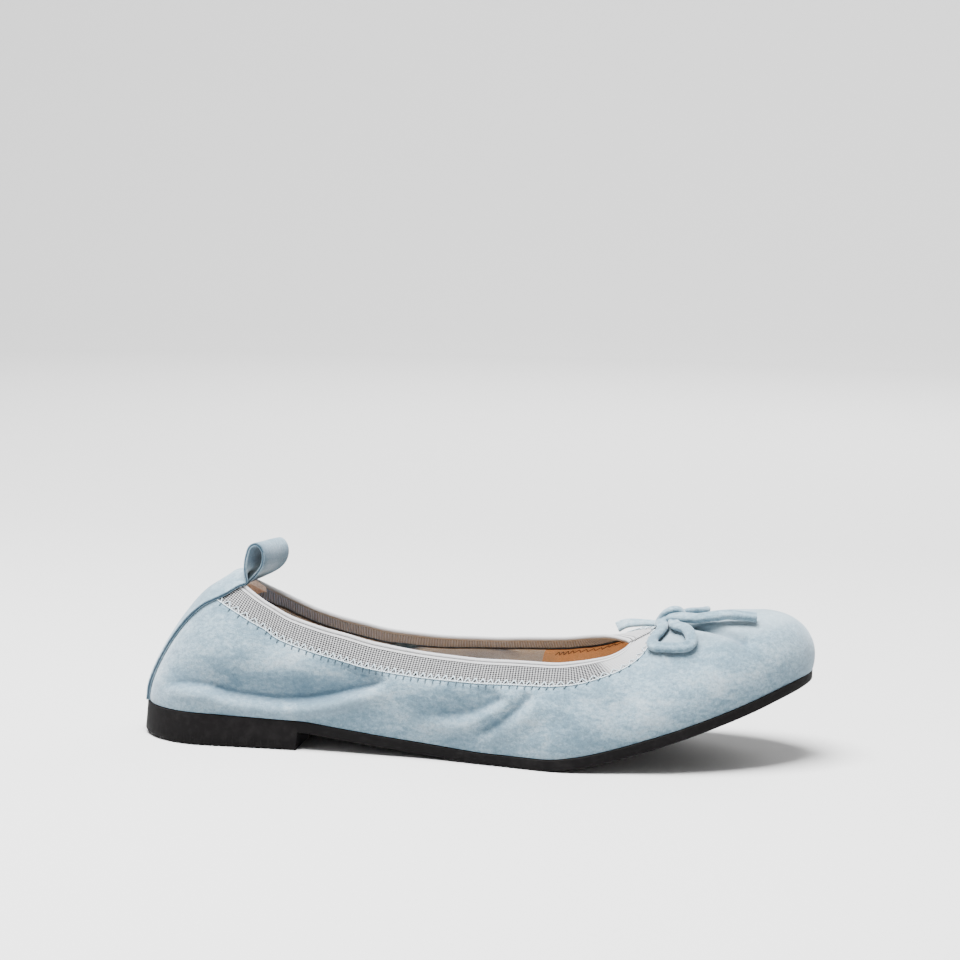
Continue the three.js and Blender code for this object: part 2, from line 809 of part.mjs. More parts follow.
const suedeBlue = { color: 0xb4c6d0, roughness: 0.95, metalness: 0 };
const pieces = [
  ["outsole", outsole(), { color: 0x242221, roughness: 0.6, metalness: 0 }],
  ["footbed", footbed(), { color: 0xb98a5c, roughness: 0.7, metalness: 0 }],
  ["upper", upper(), suedeBlue],
  ["elastic_band", elasticBand(), { color: 0xc4c4c6, roughness: 0.85, metalness: 0 }],
  ["heel_strap", heelStrap(), suedeBlue],
  ["bow", bow(), suedeBlue],
];

const shoe = new THREE.Group();
for (const [name, geometry, finish] of pieces) {
  const mesh = new THREE.Mesh(geometry, new THREE.MeshStandardMaterial(finish));
  mesh.name = name;
  shoe.add(mesh);
}

// The origin lies on the floor, under the middle of the whole shoe.
const bounds = new THREE.Box3().setFromObject(shoe);
const middle = bounds.getCenter(new THREE.Vector3());
shoe.position.set(-middle.x, -middle.y, -bounds.min.z);

export default shoe;
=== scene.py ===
"""Looks of a suede ballet flat for the right foot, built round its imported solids.

Shapes are worked out in millimetres in the shoe's own frame: +X to the toe, -Y to the outer side,
+Z up, X = 0 at the back of the sole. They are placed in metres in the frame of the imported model.
A place on the shoe's outside is given by its turn, 0 at the back and 1 at the toe tip, negative on
the outer side, and its rise, 0 at the sole, 1 at the suede's edge and 2 at the top of the elastic.
"""

import logging
import math
from dataclasses import dataclass, field
from enum import Enum
from typing import Callable

import bpy
import numpy as np
from mathutils import Matrix, Vector
from mathutils.bvhtree import BVHTree


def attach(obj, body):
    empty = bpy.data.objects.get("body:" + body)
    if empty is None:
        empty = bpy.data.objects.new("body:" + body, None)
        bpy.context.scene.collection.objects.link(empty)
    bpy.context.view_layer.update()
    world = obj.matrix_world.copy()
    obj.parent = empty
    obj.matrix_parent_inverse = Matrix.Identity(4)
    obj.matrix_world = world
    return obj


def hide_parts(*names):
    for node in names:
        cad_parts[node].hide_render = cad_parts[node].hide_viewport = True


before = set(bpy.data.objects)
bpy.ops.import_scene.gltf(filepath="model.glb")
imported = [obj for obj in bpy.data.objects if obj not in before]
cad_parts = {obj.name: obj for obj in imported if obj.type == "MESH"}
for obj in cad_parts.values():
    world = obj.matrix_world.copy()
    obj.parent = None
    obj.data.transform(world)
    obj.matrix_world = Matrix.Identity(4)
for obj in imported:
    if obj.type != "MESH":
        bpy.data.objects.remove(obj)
log = logging.getLogger("ballet_flat")
Points = np.ndarray
Piece = bpy.types.Object
Material = bpy.types.Material
Socket = bpy.types.NodeSocket
UP = np.array([0, 0, 1.0])


class Side(Enum):
    """The two sides of the shoe, as signs of Y."""

    OUTER = -1
    INNER = 1


@dataclass(frozen=True)
class Table:
    """Values in rows, read smoothly between them and with no overshoot.

    Args:
        names: column names; the first column is what the others are looked up by.
        rows: the rows, in rising order of their first column.
    """

    names: tuple[str, ...]
    rows: tuple[tuple[float, ...], ...]

    def read(self, column: str, at: Points) -> Points:
        """Reads a column.

        Args:
            column: the column's name.
            at: where to read it, in the first column's terms.

        Returns:
            One value for each place in `at`.
        """
        values = np.array(self.rows, float)
        knots = values[:, 0]
        wanted = values[:, self.names.index(column)]
        slope = np.diff(wanted) / np.diff(knots)
        before, after = slope[:-1], slope[1:]
        same = before * after > 0
        total = np.where(same, before + after, 1.0)
        inner = np.where(same, 2 * before * after / total, 0.0)
        tangent = np.concatenate([slope[:1], inner, slope[-1:]])
        place = np.clip(np.asarray(at, float), knots[0], knots[-1])
        k = np.clip(np.searchsorted(knots, place) - 1, 0, len(knots) - 2)
        span = knots[k + 1] - knots[k]
        u = (place - knots[k]) / span
        return (
            wanted[k] * (2 * u**3 - 3 * u**2 + 1)
            + tangent[k] * span * (u**3 - 2 * u**2 + u)
            + wanted[k + 1] * (3 * u**2 - 2 * u**3)
            + tangent[k + 1] * span * (u**3 - u**2)
        )


def mix(a: Points, b: Points, t: Points) -> Points:
    """Returns the value between a and b at share t."""
    return a + (b - a) * t


def smooth(t: Points) -> Points:
    """Returns t eased at both ends, held between 0 and 1."""
    held = np.clip(t, 0.0, 1.0)
    return held * held * (3 - 2 * held)


def unit(v: Points) -> Points:
    """Returns vectors of length one, with a vector per row."""
    return v / np.maximum(np.linalg.norm(v, axis=-1, keepdims=True), 1e-12)


def rounded_end(distance: Points, length: float) -> Points:
    """Returns the quarter ellipse that closes an outline over its last length."""
    t = np.clip(np.asarray(distance, float) / length, 0, 1)
    return np.sqrt(np.maximum(0, 1 - (1 - t) ** 2))


def even_line(points: Points, count: int) -> Points:
    """Spaces points evenly along a smooth line through the given ones.

    Args:
        points: the points that the line passes through.
        count: how many points to return.

    Returns:
        The evenly spaced points.
    """
    steps = np.linalg.norm(np.diff(points, axis=0), axis=1) ** 0.5
    knots = np.concatenate([[0], np.cumsum(np.maximum(steps, 1e-9))])
    padded = np.vstack([2 * points[0] - points[1], points, 2 * points[-1] - points[-2]])
    marks = np.concatenate([[-knots[1]], knots, [2 * knots[-1] - knots[-2]]])
    fine = []
    for i in range(len(points) - 1):
        p0, p1, p2, p3 = padded[i : i + 4]
        t0, t1, t2, t3 = marks[i : i + 4]
        for t in np.linspace(t1, t2, 24, endpoint=False):
            a1 = p0 * (t1 - t) / (t1 - t0) + p1 * (t - t0) / (t1 - t0)
            a2 = p1 * (t2 - t) / (t2 - t1) + p2 * (t - t1) / (t2 - t1)
            a3 = p2 * (t3 - t) / (t3 - t2) + p3 * (t - t2) / (t3 - t2)
            b1 = a1 * (t2 - t) / (t2 - t0) + a2 * (t - t0) / (t2 - t0)
            b2 = a2 * (t3 - t) / (t3 - t1) + a3 * (t - t1) / (t3 - t1)
            fine.append(b1 * (t2 - t) / (t2 - t1) + b2 * (t - t1) / (t2 - t1))
    line = np.array(fine + [points[-1]])
    run = np.concatenate([[0], np.cumsum(np.linalg.norm(np.diff(line, axis=0), axis=1))])
    at = np.linspace(0, run[-1], count)
    return np.stack([np.interp(at, run, line[:, k]) for k in range(3)], axis=1)


class PlanEdge:
    """One side of an outline in plan, measured along its own length."""

    def __init__(self, edge: Callable, start: float, end: float, side: Side) -> None:
        """Samples the edge.

        Args:
            edge: gives Y for an array of X.
            start: X of its back end.
            end: X of its front end.
            side: the side that it is on.
        """
        turn = np.linspace(0, math.pi, 401)
        x = mix(start, end, (1 - np.cos(turn)) / 2)
        self.points = np.stack([x, edge(x, side.value)], axis=1)
        steps = np.linalg.norm(np.diff(self.points, axis=0), axis=1)
        self.lengths = np.concatenate([[0], np.cumsum(steps)])
        self.total = self.lengths[-1]

    def at(self, share: Points) -> Points:
        """Returns the points at shares of the way from back to front."""
        wanted = np.clip(share, 0, 1) * self.total
        columns = [np.interp(wanted, self.lengths, self.points[:, k]) for k in (0, 1)]
        return np.stack(columns, axis=-1)

    def heading(self, share: Points) -> Points:
        """Returns the direction of travel at shares of the way."""
        step = 0.004
        share = np.asarray(share, float)
        start, end = self.points[0], self.points[-1]
        flip = np.array([1.0, -1.0])
        low = (share < step)[..., None]
        high = (share > 1 - step)[..., None]
        first = start * (1 - flip) + self.at(np.array(step)) * flip
        last = end * (1 - flip) + self.at(np.array(1 - step)) * flip
        a = np.where(low, first, self.at(share - step))
        b = np.where(high, last, self.at(share + step))
        return unit(b - a)

    def share_of(self, x: Points) -> Points:
        """Returns the share of the way at which the edge reaches x."""
        return np.interp(x, self.points[:, 0], self.lengths) / self.total


@dataclass(frozen=True)
class Last:
    """The shoe's outside as a surface, from the same sizes and tables as its solids.

    Its lengths are in millimetres, and its tables hold shares of them, or degrees for a pitch or
    a lean.

    Attributes:
        origin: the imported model's origin in the shoe's own frame.
        feather_margin: how far inside the sole's outline the suede stands.
        throat_fan: how far ahead of the elastic's front end the columns fan out.
        fit_gap: the gap between pieces that touch.
        crest_drift: how far the vamp's crest drifts sideways towards the toe tip.
        vamp_base: share of the back's height that the vamp's height is counted from.
        crest_arch: how much the crest arches over a straight line.
        throat_turn: how far the suede's grain turns to follow its edge at the throat.
        throat_turn_from: share of the opening where it begins to turn.
        free_beside: turn over which the hold of the elastic ends, ahead of the throat.
        held_rise: rise under the elastic where the suede can't fold freely.
    """

    origin: tuple[float, float, float] = (121.885, 0.8835, 0.0)
    sole_length: float = 245
    ball_width: float = 79
    sole_thickness: float = 4
    heel_height: float = 7
    toe_spring: float = 29
    heel_rounding: float = 27
    toe_rounding: float = 52
    feather_margin: float = 0.8
    back_height: float = 48.3
    vamp_height: float = 43
    toe_box_height: float = 20.5
    toe_box_depth: float = 18
    opening_back: float = 33
    opening_length: float = 145
    opening_width: float = 48
    opening_back_rounding: float = 16
    throat_rounding: float = 22
    throat_fan: float = 12
    band_width: float = 12
    fit_gap: float = 0.3
    crest_drift: float = 0.8
    vamp_base: float = 0.7
    crest_arch: float = 0.1
    throat_turn: float = 0.95
    throat_turn_from: float = 0.6
    free_beside: float = 0.05
    held_rise: float = 0.16
    sole_sides: Table = Table(
        ("along", "half", "centre"),
        (
            (0.0, 0.66, 0.0),
            (0.12, 0.67, 0.0),
            (0.26, 0.665, -0.004),
            (0.42, 0.68, -0.03),
            (0.55, 0.82, -0.04),
            (0.66, 0.99, -0.02),
            (0.76, 1.0, 0.03),
            (0.88, 0.93, 0.07),
            (1.0, 0.85, 0.1),
        ),
    )
    sole_lift: Table = Table(
        ("along", "heel", "spring"),
        (
            (0.0, 1.1, 0),
            (0.1, 1.06, 0),
            (0.25, 0.93, 0),
            (0.3, 0.72, 0),
            (0.4, 0.34, 0),
            (0.47, 0.13, 0),
            (0.54, 0, 0),
            (0.62, 0, 0),
            (0.67, 0, 0.05),
            (0.72, 0, 0.15),
            (0.77, 0, 0.28),
            (0.82, 0, 0.42),
            (0.87, 0, 0.57),
            (0.92, 0, 0.73),
            (0.96, 0, 0.87),
            (1.0, 0, 1),
        ),
    )
    collar: Table = Table(
        ("along", "half", "rise", "pitch"),
        (
            (0.0, 0.46, 1.0, 34),
            (0.035, 0.45, 0.941, 38),
            (0.1, 0.455, 0.827, 44),
            (0.166, 0.52, 0.738, 46),
            (0.231, 0.583, 0.694, 47),
            (0.297, 0.633, 0.676, 48),
            (0.383, 0.717, 0.649, 47),
            (0.486, 0.842, 0.645, 45),
            (0.6, 0.942, 0.654, 42),
            (0.748, 1.0, 0.669, 40),
            (0.869, 1.0, 0.671, 37),
            (0.922, 1.0, 0.665, 25),
            (0.972, 1.0, 0.648, 2),
            (1.0, 1.0, 0.65, -30),
        ),
    )
    inner_collar: Table = Table(
        ("along", "lift", "lean"),
        (
            (0.0, 0, 0),
            (0.05, 0.6, 5),
            (0.14, 1.8, 13),
            (0.2, 1.0, 14.5),
            (0.3, 0.4, 16),
            (0.5, 0.1, 17),
            (0.63, 0.5, 17),
            (0.76, 0.9, 15),
            (0.86, 1.5, 14),
            (0.92, 1.6, 15),
            (0.955, 1.3, 20),
            (0.985, 0.5, 12),
            (1.0, 0, 0),
        ),
    )
    outer_collar: Table = Table(
        ("along", "lift", "lean"),
        (
            (0.0, 0, 0),
            (0.12, 0.3, 0),
            (0.24, 0.75, 0),
            (0.5, 1.2, 0),
            (0.72, 0.75, 0),
            (0.88, 0.2, 0),
            (1.0, 0, 0),
        ),
    )
    crest: Table = Table(
        ("along", "rise"), ((0.0, 0), (0.15, 0.34), (0.35, 0.68), (0.65, 0.93), (1.0, 1))
    )
    spread: Table = Table(
        ("around", "opening"),
        (
            (0.0, 0.0),
            (0.12, 0.07),
            (0.25, 0.17),
            (0.5, 0.43),
            (0.72, 0.7),
            (0.88, 0.88),
            (1.0, 1.0),
        ),
    )
    walls: Table = Table(
        ("around", "bulge", "start", "end"),
        (
            (0.0, 5, 0.24, 0.14),
            (0.1, 7, 0.26, 0.18),
            (0.25, 7, 0.32, 0.22),
            (0.45, 5, 0.36, 0.22),
            (0.6, 9, 0.37, 0.3),
            (0.75, 14, 0.38, 0.4),
            (0.88, 13, 0.42, 0.44),
            (1.0, 12, 0.42, 0.46),
        ),
    )

    def __post_init__(self) -> None:
        """Measures the outlines and finds where the vamp's crest begins and ends."""
        front = self.opening_back + self.opening_length
        keep = object.__setattr__
        outlines = {
            "feather": (self.sole_edge, 0, self.sole_length),
            "rim": (self.rim_edge, self.opening_back, front),
        }
        for name, span in outlines.items():
            keep(self, name, {side.value: PlanEdge(*span, side) for side in Side})
        keep(self, "crest_start", self.band_point(1, np.array(1.0), np.array(0.0)))
        tip = self.wall_foot(1, np.array(1.0))[0]
        end = [
            tip[0] - self.toe_box_depth,
            mix(self.crest_start[1], tip[1], self.crest_drift),
            tip[2] + self.toe_box_height,
        ]
        keep(self, "crest_end", np.array(end))
        edge = self.feather[-1]
        keep(self, "throat", float(edge.share_of(self.crest_start[0] + self.throat_fan)))
        keep(self, "crest_close", float(edge.share_of(self.crest_end[0])))

    def placed(self, points: Points) -> Points:
        """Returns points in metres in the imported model's frame."""
        return (points - np.array(self.origin)) / 1000

    def sole_bottom(self, x: Points) -> Points:
        """Returns the height of the sole's underside, the heel block aside."""
        at = np.clip(np.asarray(x, float) / self.sole_length, 0, 1)
        heel = self.sole_lift.read("heel", at) * self.heel_height
        return heel + self.sole_lift.read("spring", at) * self.toe_spring

    def sole_top(self, x: Points) -> Points:
        """Returns the height of the sole's upper face."""
        return self.sole_bottom(x) + self.sole_thickness

    def sole_edge(self, x: Points, side: int) -> Points:
        """Returns Y of the sole's outline."""
        at = x / self.sole_length
        half = self.sole_sides.read("half", at) * self.ball_width / 2
        half = half * rounded_end(x, self.heel_rounding)
        half = half * rounded_end(self.sole_length - x, self.toe_rounding)
        return self.sole_sides.read("centre", at) * self.ball_width + side * half

    def rim_edge(self, x: Points, side: int) -> Points:
        """Returns Y of the opening's edge, the top of the elastic."""
        at = (x - self.opening_back) / self.opening_length
        front = self.opening_back + self.opening_length
        half = self.collar.read("half", at) * self.opening_width / 2
        half = half * rounded_end(x - self.opening_back, self.opening_back_rounding)
        return side * half * rounded_end(front - x, self.throat_rounding)

    @staticmethod
    def outward(heading: Points, side: int) -> Points:
        """Returns the plan direction away from the shoe, square to a heading."""
        flat = np.zeros(heading.shape[:-1])
        return np.stack([-side * heading[..., 1], side * heading[..., 0], flat], axis=-1)

    def wall_foot(self, side: int, around: Points) -> tuple[Points, Points]:
        """Returns where the suede stands on the sole, and which way is out."""
        edge = self.feather[side]
        plan = edge.at(around)
        away = self.outward(edge.heading(around), side)
        height = np.zeros(plan.shape[:-1])
        foot = np.stack([plan[..., 0], plan[..., 1], height], axis=-1)
        foot = foot - away * self.feather_margin
        foot[..., 2] = self.sole_top(foot[..., 0]) + self.fit_gap
        return foot, away

    def band_top(self, side: int, share: Points) -> tuple[Points, Points]:
        """Returns the top edge of the elastic and the way that it climbs there."""
        edge = self.rim[side]
        plan = edge.at(share)
        at = (plan[..., 0] - self.opening_back) / self.opening_length
        own = self.inner_collar if side == Side.INNER.value else self.outer_collar
        rise = self.collar.read("rise", at) * self.back_height + own.read("lift", at)
        pitch = np.radians(self.collar.read("pitch", at) - own.read("lean", at))[..., None]
        inward = -self.outward(edge.heading(share), side)
        climb = inward * np.cos(pitch) + UP * np.sin(pitch)
        height = self.sole_top(plan[..., 0]) + rise
        return np.concatenate([plan, height[..., None]], axis=-1), climb

    def band_point(self, side: int, share: Points, up: Points) -> Points:
        """Returns a point of the elastic, up 0 at the suede's edge and 1 at its top."""
        top, climb = self.band_top(side, share)
        return top - climb * ((1 - up) * self.band_width)[..., None]

    def edge_heading(self, side: int, share: Points) -> Points:
        """Returns the direction of the suede's edge, from heel to throat."""
        step = 0.01
        zero = np.zeros_like(share)
        before = self.band_point(side, np.maximum(0, share - step), zero)
        after = self.band_point(side, share + step, zero)
        across = np.broadcast_to(np.array([0, -side, 0.0]), before.shape)
        return np.where((share > 1 - step)[..., None], across, unit(after - before))

    def opening_share(self, around: Points) -> Points:
        """Returns the share of the opening's edge that a wall reaches."""
        read = self.spread.read("opening", around / self.throat)
        return np.where(around >= self.throat, 1.0, read)

    def crest_point(self, share: Points) -> Points:
        """Returns the vamp's crest at shares of the way from throat to toe box."""
        height = self.crest.read("rise", share)
        line = mix(self.crest_start, self.crest_end, share[..., None])
        lift = self.crest_start[2] + self.vamp_height - self.back_height * self.vamp_base
        top = max(self.crest_end[2], lift)
        arch = mix(self.crest_end[2], top, 4 * share * (1 - share) * self.crest_arch)
        line[..., 2] = mix(self.crest_start[2], arch, height)
        return line

    def wall(self, side: int, around: Points, rise: Points) -> Points:
        """Returns points of the suede on one side.

        Args:
            side: -1 outer, 1 inner.
            around: 0 at the heel to 1 at the toe tip.
            rise: 0 at the sole to 1 at the suede's edge or the crest.

        Returns:
            A point for each place.
        """
        foot, away = self.wall_foot(side, around)
        share = self.opening_share(around)
        late = (share - self.throat_turn_from) / (1 - self.throat_turn_from)
        turn = self.throat_turn * smooth(late)[..., None]
        beside = self.band_point(side, share, np.zeros_like(share))
        climb = self.band_top(side, share)[1]
        met = unit(mix(climb, self.edge_heading(side, share), turn))
        ahead = np.clip((around - self.throat) / (self.crest_close - self.throat), 0, 1)
        swing = np.clip((around - self.crest_close) / (1 - self.crest_close), 0, 1)
        swing = swing * math.pi / 2
        level = np.stack([-np.sin(swing), -side * np.cos(swing), np.zeros_like(swing)], -1)
        closed = (around > self.throat)[..., None]
        end = np.where(closed, self.crest_point(ahead), beside)
        arrive = np.where(closed, level, met)
        bulge = np.radians(self.walls.read("bulge", around))[..., None]
        leave = away * np.sin(bulge) + UP * np.cos(bulge)
        chord = np.linalg.norm(end - foot, axis=-1)
        first = foot + leave * (chord * self.walls.read("start", around))[..., None]
        second = end - arrive * (chord * self.walls.read("end", around))[..., None]
        t = rise[..., None]
        s = 1 - t
        return s**3 * foot + 3 * s * s * t * first + 3 * s * t * t * second + t**3 * end

    def slack(self, turn: Points, rise: Points) -> Points:
        """Returns how freely the suede folds, nothing where the elastic holds its edge."""
        beside = smooth((self.throat - np.abs(turn)) / self.free_beside)
        return mix(1.0, smooth((1 - rise) / self.held_rise), beside)

    def skin(self, turn: Points, rise: Points) -> Points:
        """Returns points of the outside, suede and elastic, by turn and rise."""
        turn, rise = np.broadcast_arrays(np.asarray(turn, float), np.asarray(rise, float))
        around = np.abs(turn)
        result = np.zeros(turn.shape + (3,))
        for side in (-1, 1):
            suede = self.wall(side, around, np.clip(rise, 0, 1))
            up = np.clip(rise - 1, 0, 1)
            band = self.band_point(side, self.opening_share(around), up)
            here = np.where((rise > 1)[..., None], band, suede)
            result = np.where((np.sign(turn + 1e-12) == side)[..., None], here, result)
        return result

    def facing(self, turn: Points, rise: Points) -> Points:
        """Returns the outward direction of the outside."""
        small = 0.004
        ceiling = np.where(np.asarray(rise) > 1, 2.0, 1.0)
        high = self.skin(turn, np.minimum(ceiling, rise + 4 * small))
        low = self.skin(turn, np.maximum(0, rise - 4 * small))
        along = self.skin(turn + small, rise) - self.skin(turn - small, rise)
        return unit(np.cross(high - low, along))


@dataclass(frozen=True)
class Fold:
    """A soft fold in the suede, with its sizes in millimetres.

    Attributes:
        line: its places, as turn and rise.
        depth: how deep its hollow is.
        above: how far the hollow reaches towards the collar.
        below: how far it reaches towards the sole.
        lip: how far the ridge below it stands out.
        lip_width: half the width of that ridge.
        crease: how deep the narrow line at its bottom is.
    """

    line: tuple[tuple[float, float], ...]
    depth: float
    above: float
    below: float
    lip: float = 0.0
    lip_width: float = 3.0
    crease: float = 0.0


@dataclass(frozen=True)
class Swell:
    """A place where the suede stands out softly.

    Attributes:
        place: its turn and rise.
        height: how far it stands out.
        reach: its radius.
    """

    place: tuple[float, float]
    height: float
    reach: float


class FoldedSuede:
    """The folds and swells of the upper, as distances off the smooth last.

    Attributes:
        samples: points along each fold.
        fade_in: share of a fold's length over which it begins.
        fade_out: share over which it ends.
        crease_reach: half the width of a crease, in millimetres.
    """

    samples: int = 90
    fade_in: float = 0.18
    fade_out: float = 0.24
    crease_reach: float = 1.2

    def __init__(self, last: Last, folds: tuple[Fold, ...], swells: tuple[Swell, ...]) -> None:
        """Traces each fold over the last."""
        self.last = last
        self.traced = [(fold, *self.trace(fold)) for fold in folds]
        self.swells = [(swell, last.skin(*np.array(swell.place)[:, None])[0]) for swell in swells]

    def trace(self, fold: Fold) -> tuple[Points, Points, Points]:
        """Returns a fold's points, the way up beside them, and how strong it is there."""
        rough = np.array([(turn, rise, 0.0) for turn, rise in fold.line])
        fine = even_line(rough, self.samples)
        turn, rise = fine[:, 0], np.clip(fine[:, 1], 0, 1)
        points = self.last.skin(turn, rise)
        along = unit(np.gradient(points, axis=0))
        facing = self.last.facing(turn, rise)
        up = unit(np.cross(facing, along))
        higher = self.last.skin(turn, np.minimum(1, rise + 0.03)) - points
        up = up * np.sign(np.sum(up * higher, axis=1, keepdims=True))
        way = np.linspace(0, 1, len(points))
        strength = smooth(way / self.fade_in) * smooth((1 - way) / self.fade_out)
        return points, up, strength

    def measure(self, points: Points) -> tuple[Points, Points]:
        """Measures the folds at points of the smooth last.

        Args:
            points: the points.

        Returns:
            How far each one moves outwards, and how close it is to the line of a crease.
        """
        total = np.zeros(len(points))
        creased = np.zeros(len(points))
        for fold, line, up, strength in self.traced:
            apart = points[:, None, :] - line[None, :, :]
            distance = np.linalg.norm(apart, axis=2)
            near = np.argmin(distance, axis=1)
            gap = distance[np.arange(len(points)), near]
            across = np.sum((points - line[near]) * up[near], axis=1)
            side = np.clip(across / np.maximum(gap, 1e-6) * 1.5, -1, 1)
            reach = mix(fold.below, fold.above, smooth((side + 1) / 2))
            hollow = -fold.depth * np.exp(-((gap / reach) ** 2))
            offset = fold.below * 1.2 + fold.lip_width * 0.8
            ridge = fold.lip * np.exp(-(((across + offset) / fold.lip_width) ** 2))
            ridge = ridge * np.exp(-np.maximum(0, gap - offset - 2 * fold.lip_width) / 2)
            line_share = np.exp(-((gap / self.crease_reach) ** 2)) * strength[near]
            total += (hollow + ridge) * strength[near] - fold.crease * line_share
            creased = np.maximum(creased, line_share * fold.crease)
        for swell, centre in self.swells:
            gap = np.linalg.norm(points - centre, axis=1)
            total += swell.height * np.exp(-((gap / swell.reach) ** 2))
        return total, creased


# Blender helpers


def deselect() -> None:
    """Leaves edit mode and clears the selection."""
    if bpy.context.object and bpy.context.object.mode != "OBJECT":
        bpy.ops.object.mode_set(mode="OBJECT")
    bpy.ops.object.select_all(action="DESELECT")


def choose(piece: Piece) -> None:
    """Makes a piece the only selected one, and the active one."""
    deselect()
    piece.select_set(True)
    bpy.context.view_layer.objects.active = piece


def edit(piece: Piece, *steps: Callable[[], object]) -> None:
    """Runs mesh operators on all of a piece in edit mode."""
    choose(piece)
    bpy.ops.object.mode_set(mode="EDIT")
    bpy.ops.mesh.select_all(action="SELECT")
    for step in steps:
        step()
    bpy.ops.object.mode_set(mode="OBJECT")


def merge_doubles(distance: float = 2e-6) -> None:
    """Merges vertices of the selection that lie together, in metres."""
    bpy.ops.mesh.remove_doubles(threshold=distance)


def face_out() -> None:
    """Turns the faces of a closed selection outwards."""
    bpy.ops.mesh.normals_make_consistent(inside=False)


def apply_modifier(piece: Piece, kind: str, **settings: object) -> None:
    """Adds a modifier, sets it up and applies it.

    Args:
        piece: the piece to change.
        kind: Blender's name of the modifier's type.
        settings: its properties.
    """
    choose(piece)
    modifier = piece.modifiers.new(kind.title(), kind)
    for name, value in settings.items():
        setattr(modifier, name, value)
    bpy.ops.object.modifier_apply(modifier=modifier.name)


def net(name: str, grid: Points, uv: Points | None = None) -> Piece:
    """Adds a grid primitive and pulls it over a net of points.

    Args:
        name: the piece's name.
        grid: points in metres, columns by rows by 3.
        uv: a flat place for each point in millimetres, columns by rows by 2.

    Returns:
        The new mesh object, with its place in its mesh.
    """
    columns, rows = grid.shape[:2]
    deselect()
    bpy.ops.mesh.primitive_grid_add(
        x_subdivisions=columns - 1, y_subdivisions=rows - 1, size=2
    )
    piece = bpy.context.object
    piece.name = piece.data.name = name
    mesh = piece.data
    flat = np.zeros(len(mesh.vertices) * 3, np.float32)
    mesh.vertices.foreach_get("co", flat)
    flat = flat.reshape(-1, 3)
    i = np.rint((flat[:, 0] + 1) / 2 * (columns - 1)).astype(int)
    j = np.rint((flat[:, 1] + 1) / 2 * (rows - 1)).astype(int)
    mesh.vertices.foreach_set("co", grid[i, j].astype(np.float32).ravel())
    if uv is not None:
        corners = np.zeros(len(mesh.loops), np.int32)
        mesh.loops.foreach_get("vertex_index", corners)
        places = uv[i, j][corners]
        mesh.uv_layers.active.data.foreach_set("uv", places.astype(np.float32).ravel())
    mesh.update()
    return piece


def paint(piece: Piece, name: str, values: Points) -> None:
    """Stores one number per vertex under a name that its finish reads."""
    attribute = piece.data.attributes.new(name, "FLOAT", "POINT")
    attribute.data.foreach_set("value", values.astype(np.float32))


def vertices(piece: Piece) -> Points:
    """Returns a piece's vertices as an array."""
    flat = np.zeros(len(piece.data.vertices) * 3, np.float32)
    piece.data.vertices.foreach_get("co", flat)
    return flat.reshape(-1, 3).astype(float)


def place_vertices(piece: Piece, points: Points) -> None:
    """Moves a piece's vertices."""
    piece.data.vertices.foreach_set("co", points.astype(np.float32).ravel())
    piece.data.update()


def vertex_normals(piece: Piece) -> Points:
    """Returns a piece's vertex normals."""
    flat = np.zeros(len(piece.data.vertices) * 3, np.float32)
    piece.data.vertex_normals.foreach_get("vector", flat)
    return flat.reshape(-1, 3).astype(float)


def lookup(piece: Piece, grid: Points, values: Points) -> Points:
    """Returns the value that each vertex of a net had in its grid."""
    places = np.rint(grid.reshape(-1, 3).astype(np.float32).astype(float) * 1e7).astype(int)
    known = {tuple(place): value for place, value in zip(places.tolist(), values.ravel())}
    wanted = np.rint(vertices(piece) * 1e7).astype(int).tolist()
    return np.array([known.get(tuple(place), 0.0) for place in wanted])


def paint_net(piece: Piece, grid: Points, **painted: Points) -> None:
    """Stores numbers that a net's points have, before or after its doubles are merged.

    Args:
        piece: the net, with its vertices where the grid has them.
        grid: the net's points in metres.
        painted: by name, a number for each point, or for each row that all columns share.
    """
    for name, values in painted.items():
        paint(piece, name, lookup(piece, grid, np.broadcast_to(values, grid.shape[:2])))


def soften(piece: Piece, angle: float) -> None:
    """Shades a piece smoothly, except over edges sharper than an angle in degrees."""
    choose(piece)
    bpy.ops.object.shade_smooth_by_angle(angle=math.radians(angle))


def joined(name: str, parts: list[Piece]) -> Piece:
    """Joins several meshes into one piece with a name."""
    deselect()
    for part in parts:
        part.select_set(True)
    bpy.context.view_layer.objects.active = parts[0]
    bpy.ops.object.join()
    piece = bpy.context.object
    piece.name = piece.data.name = name
    return piece


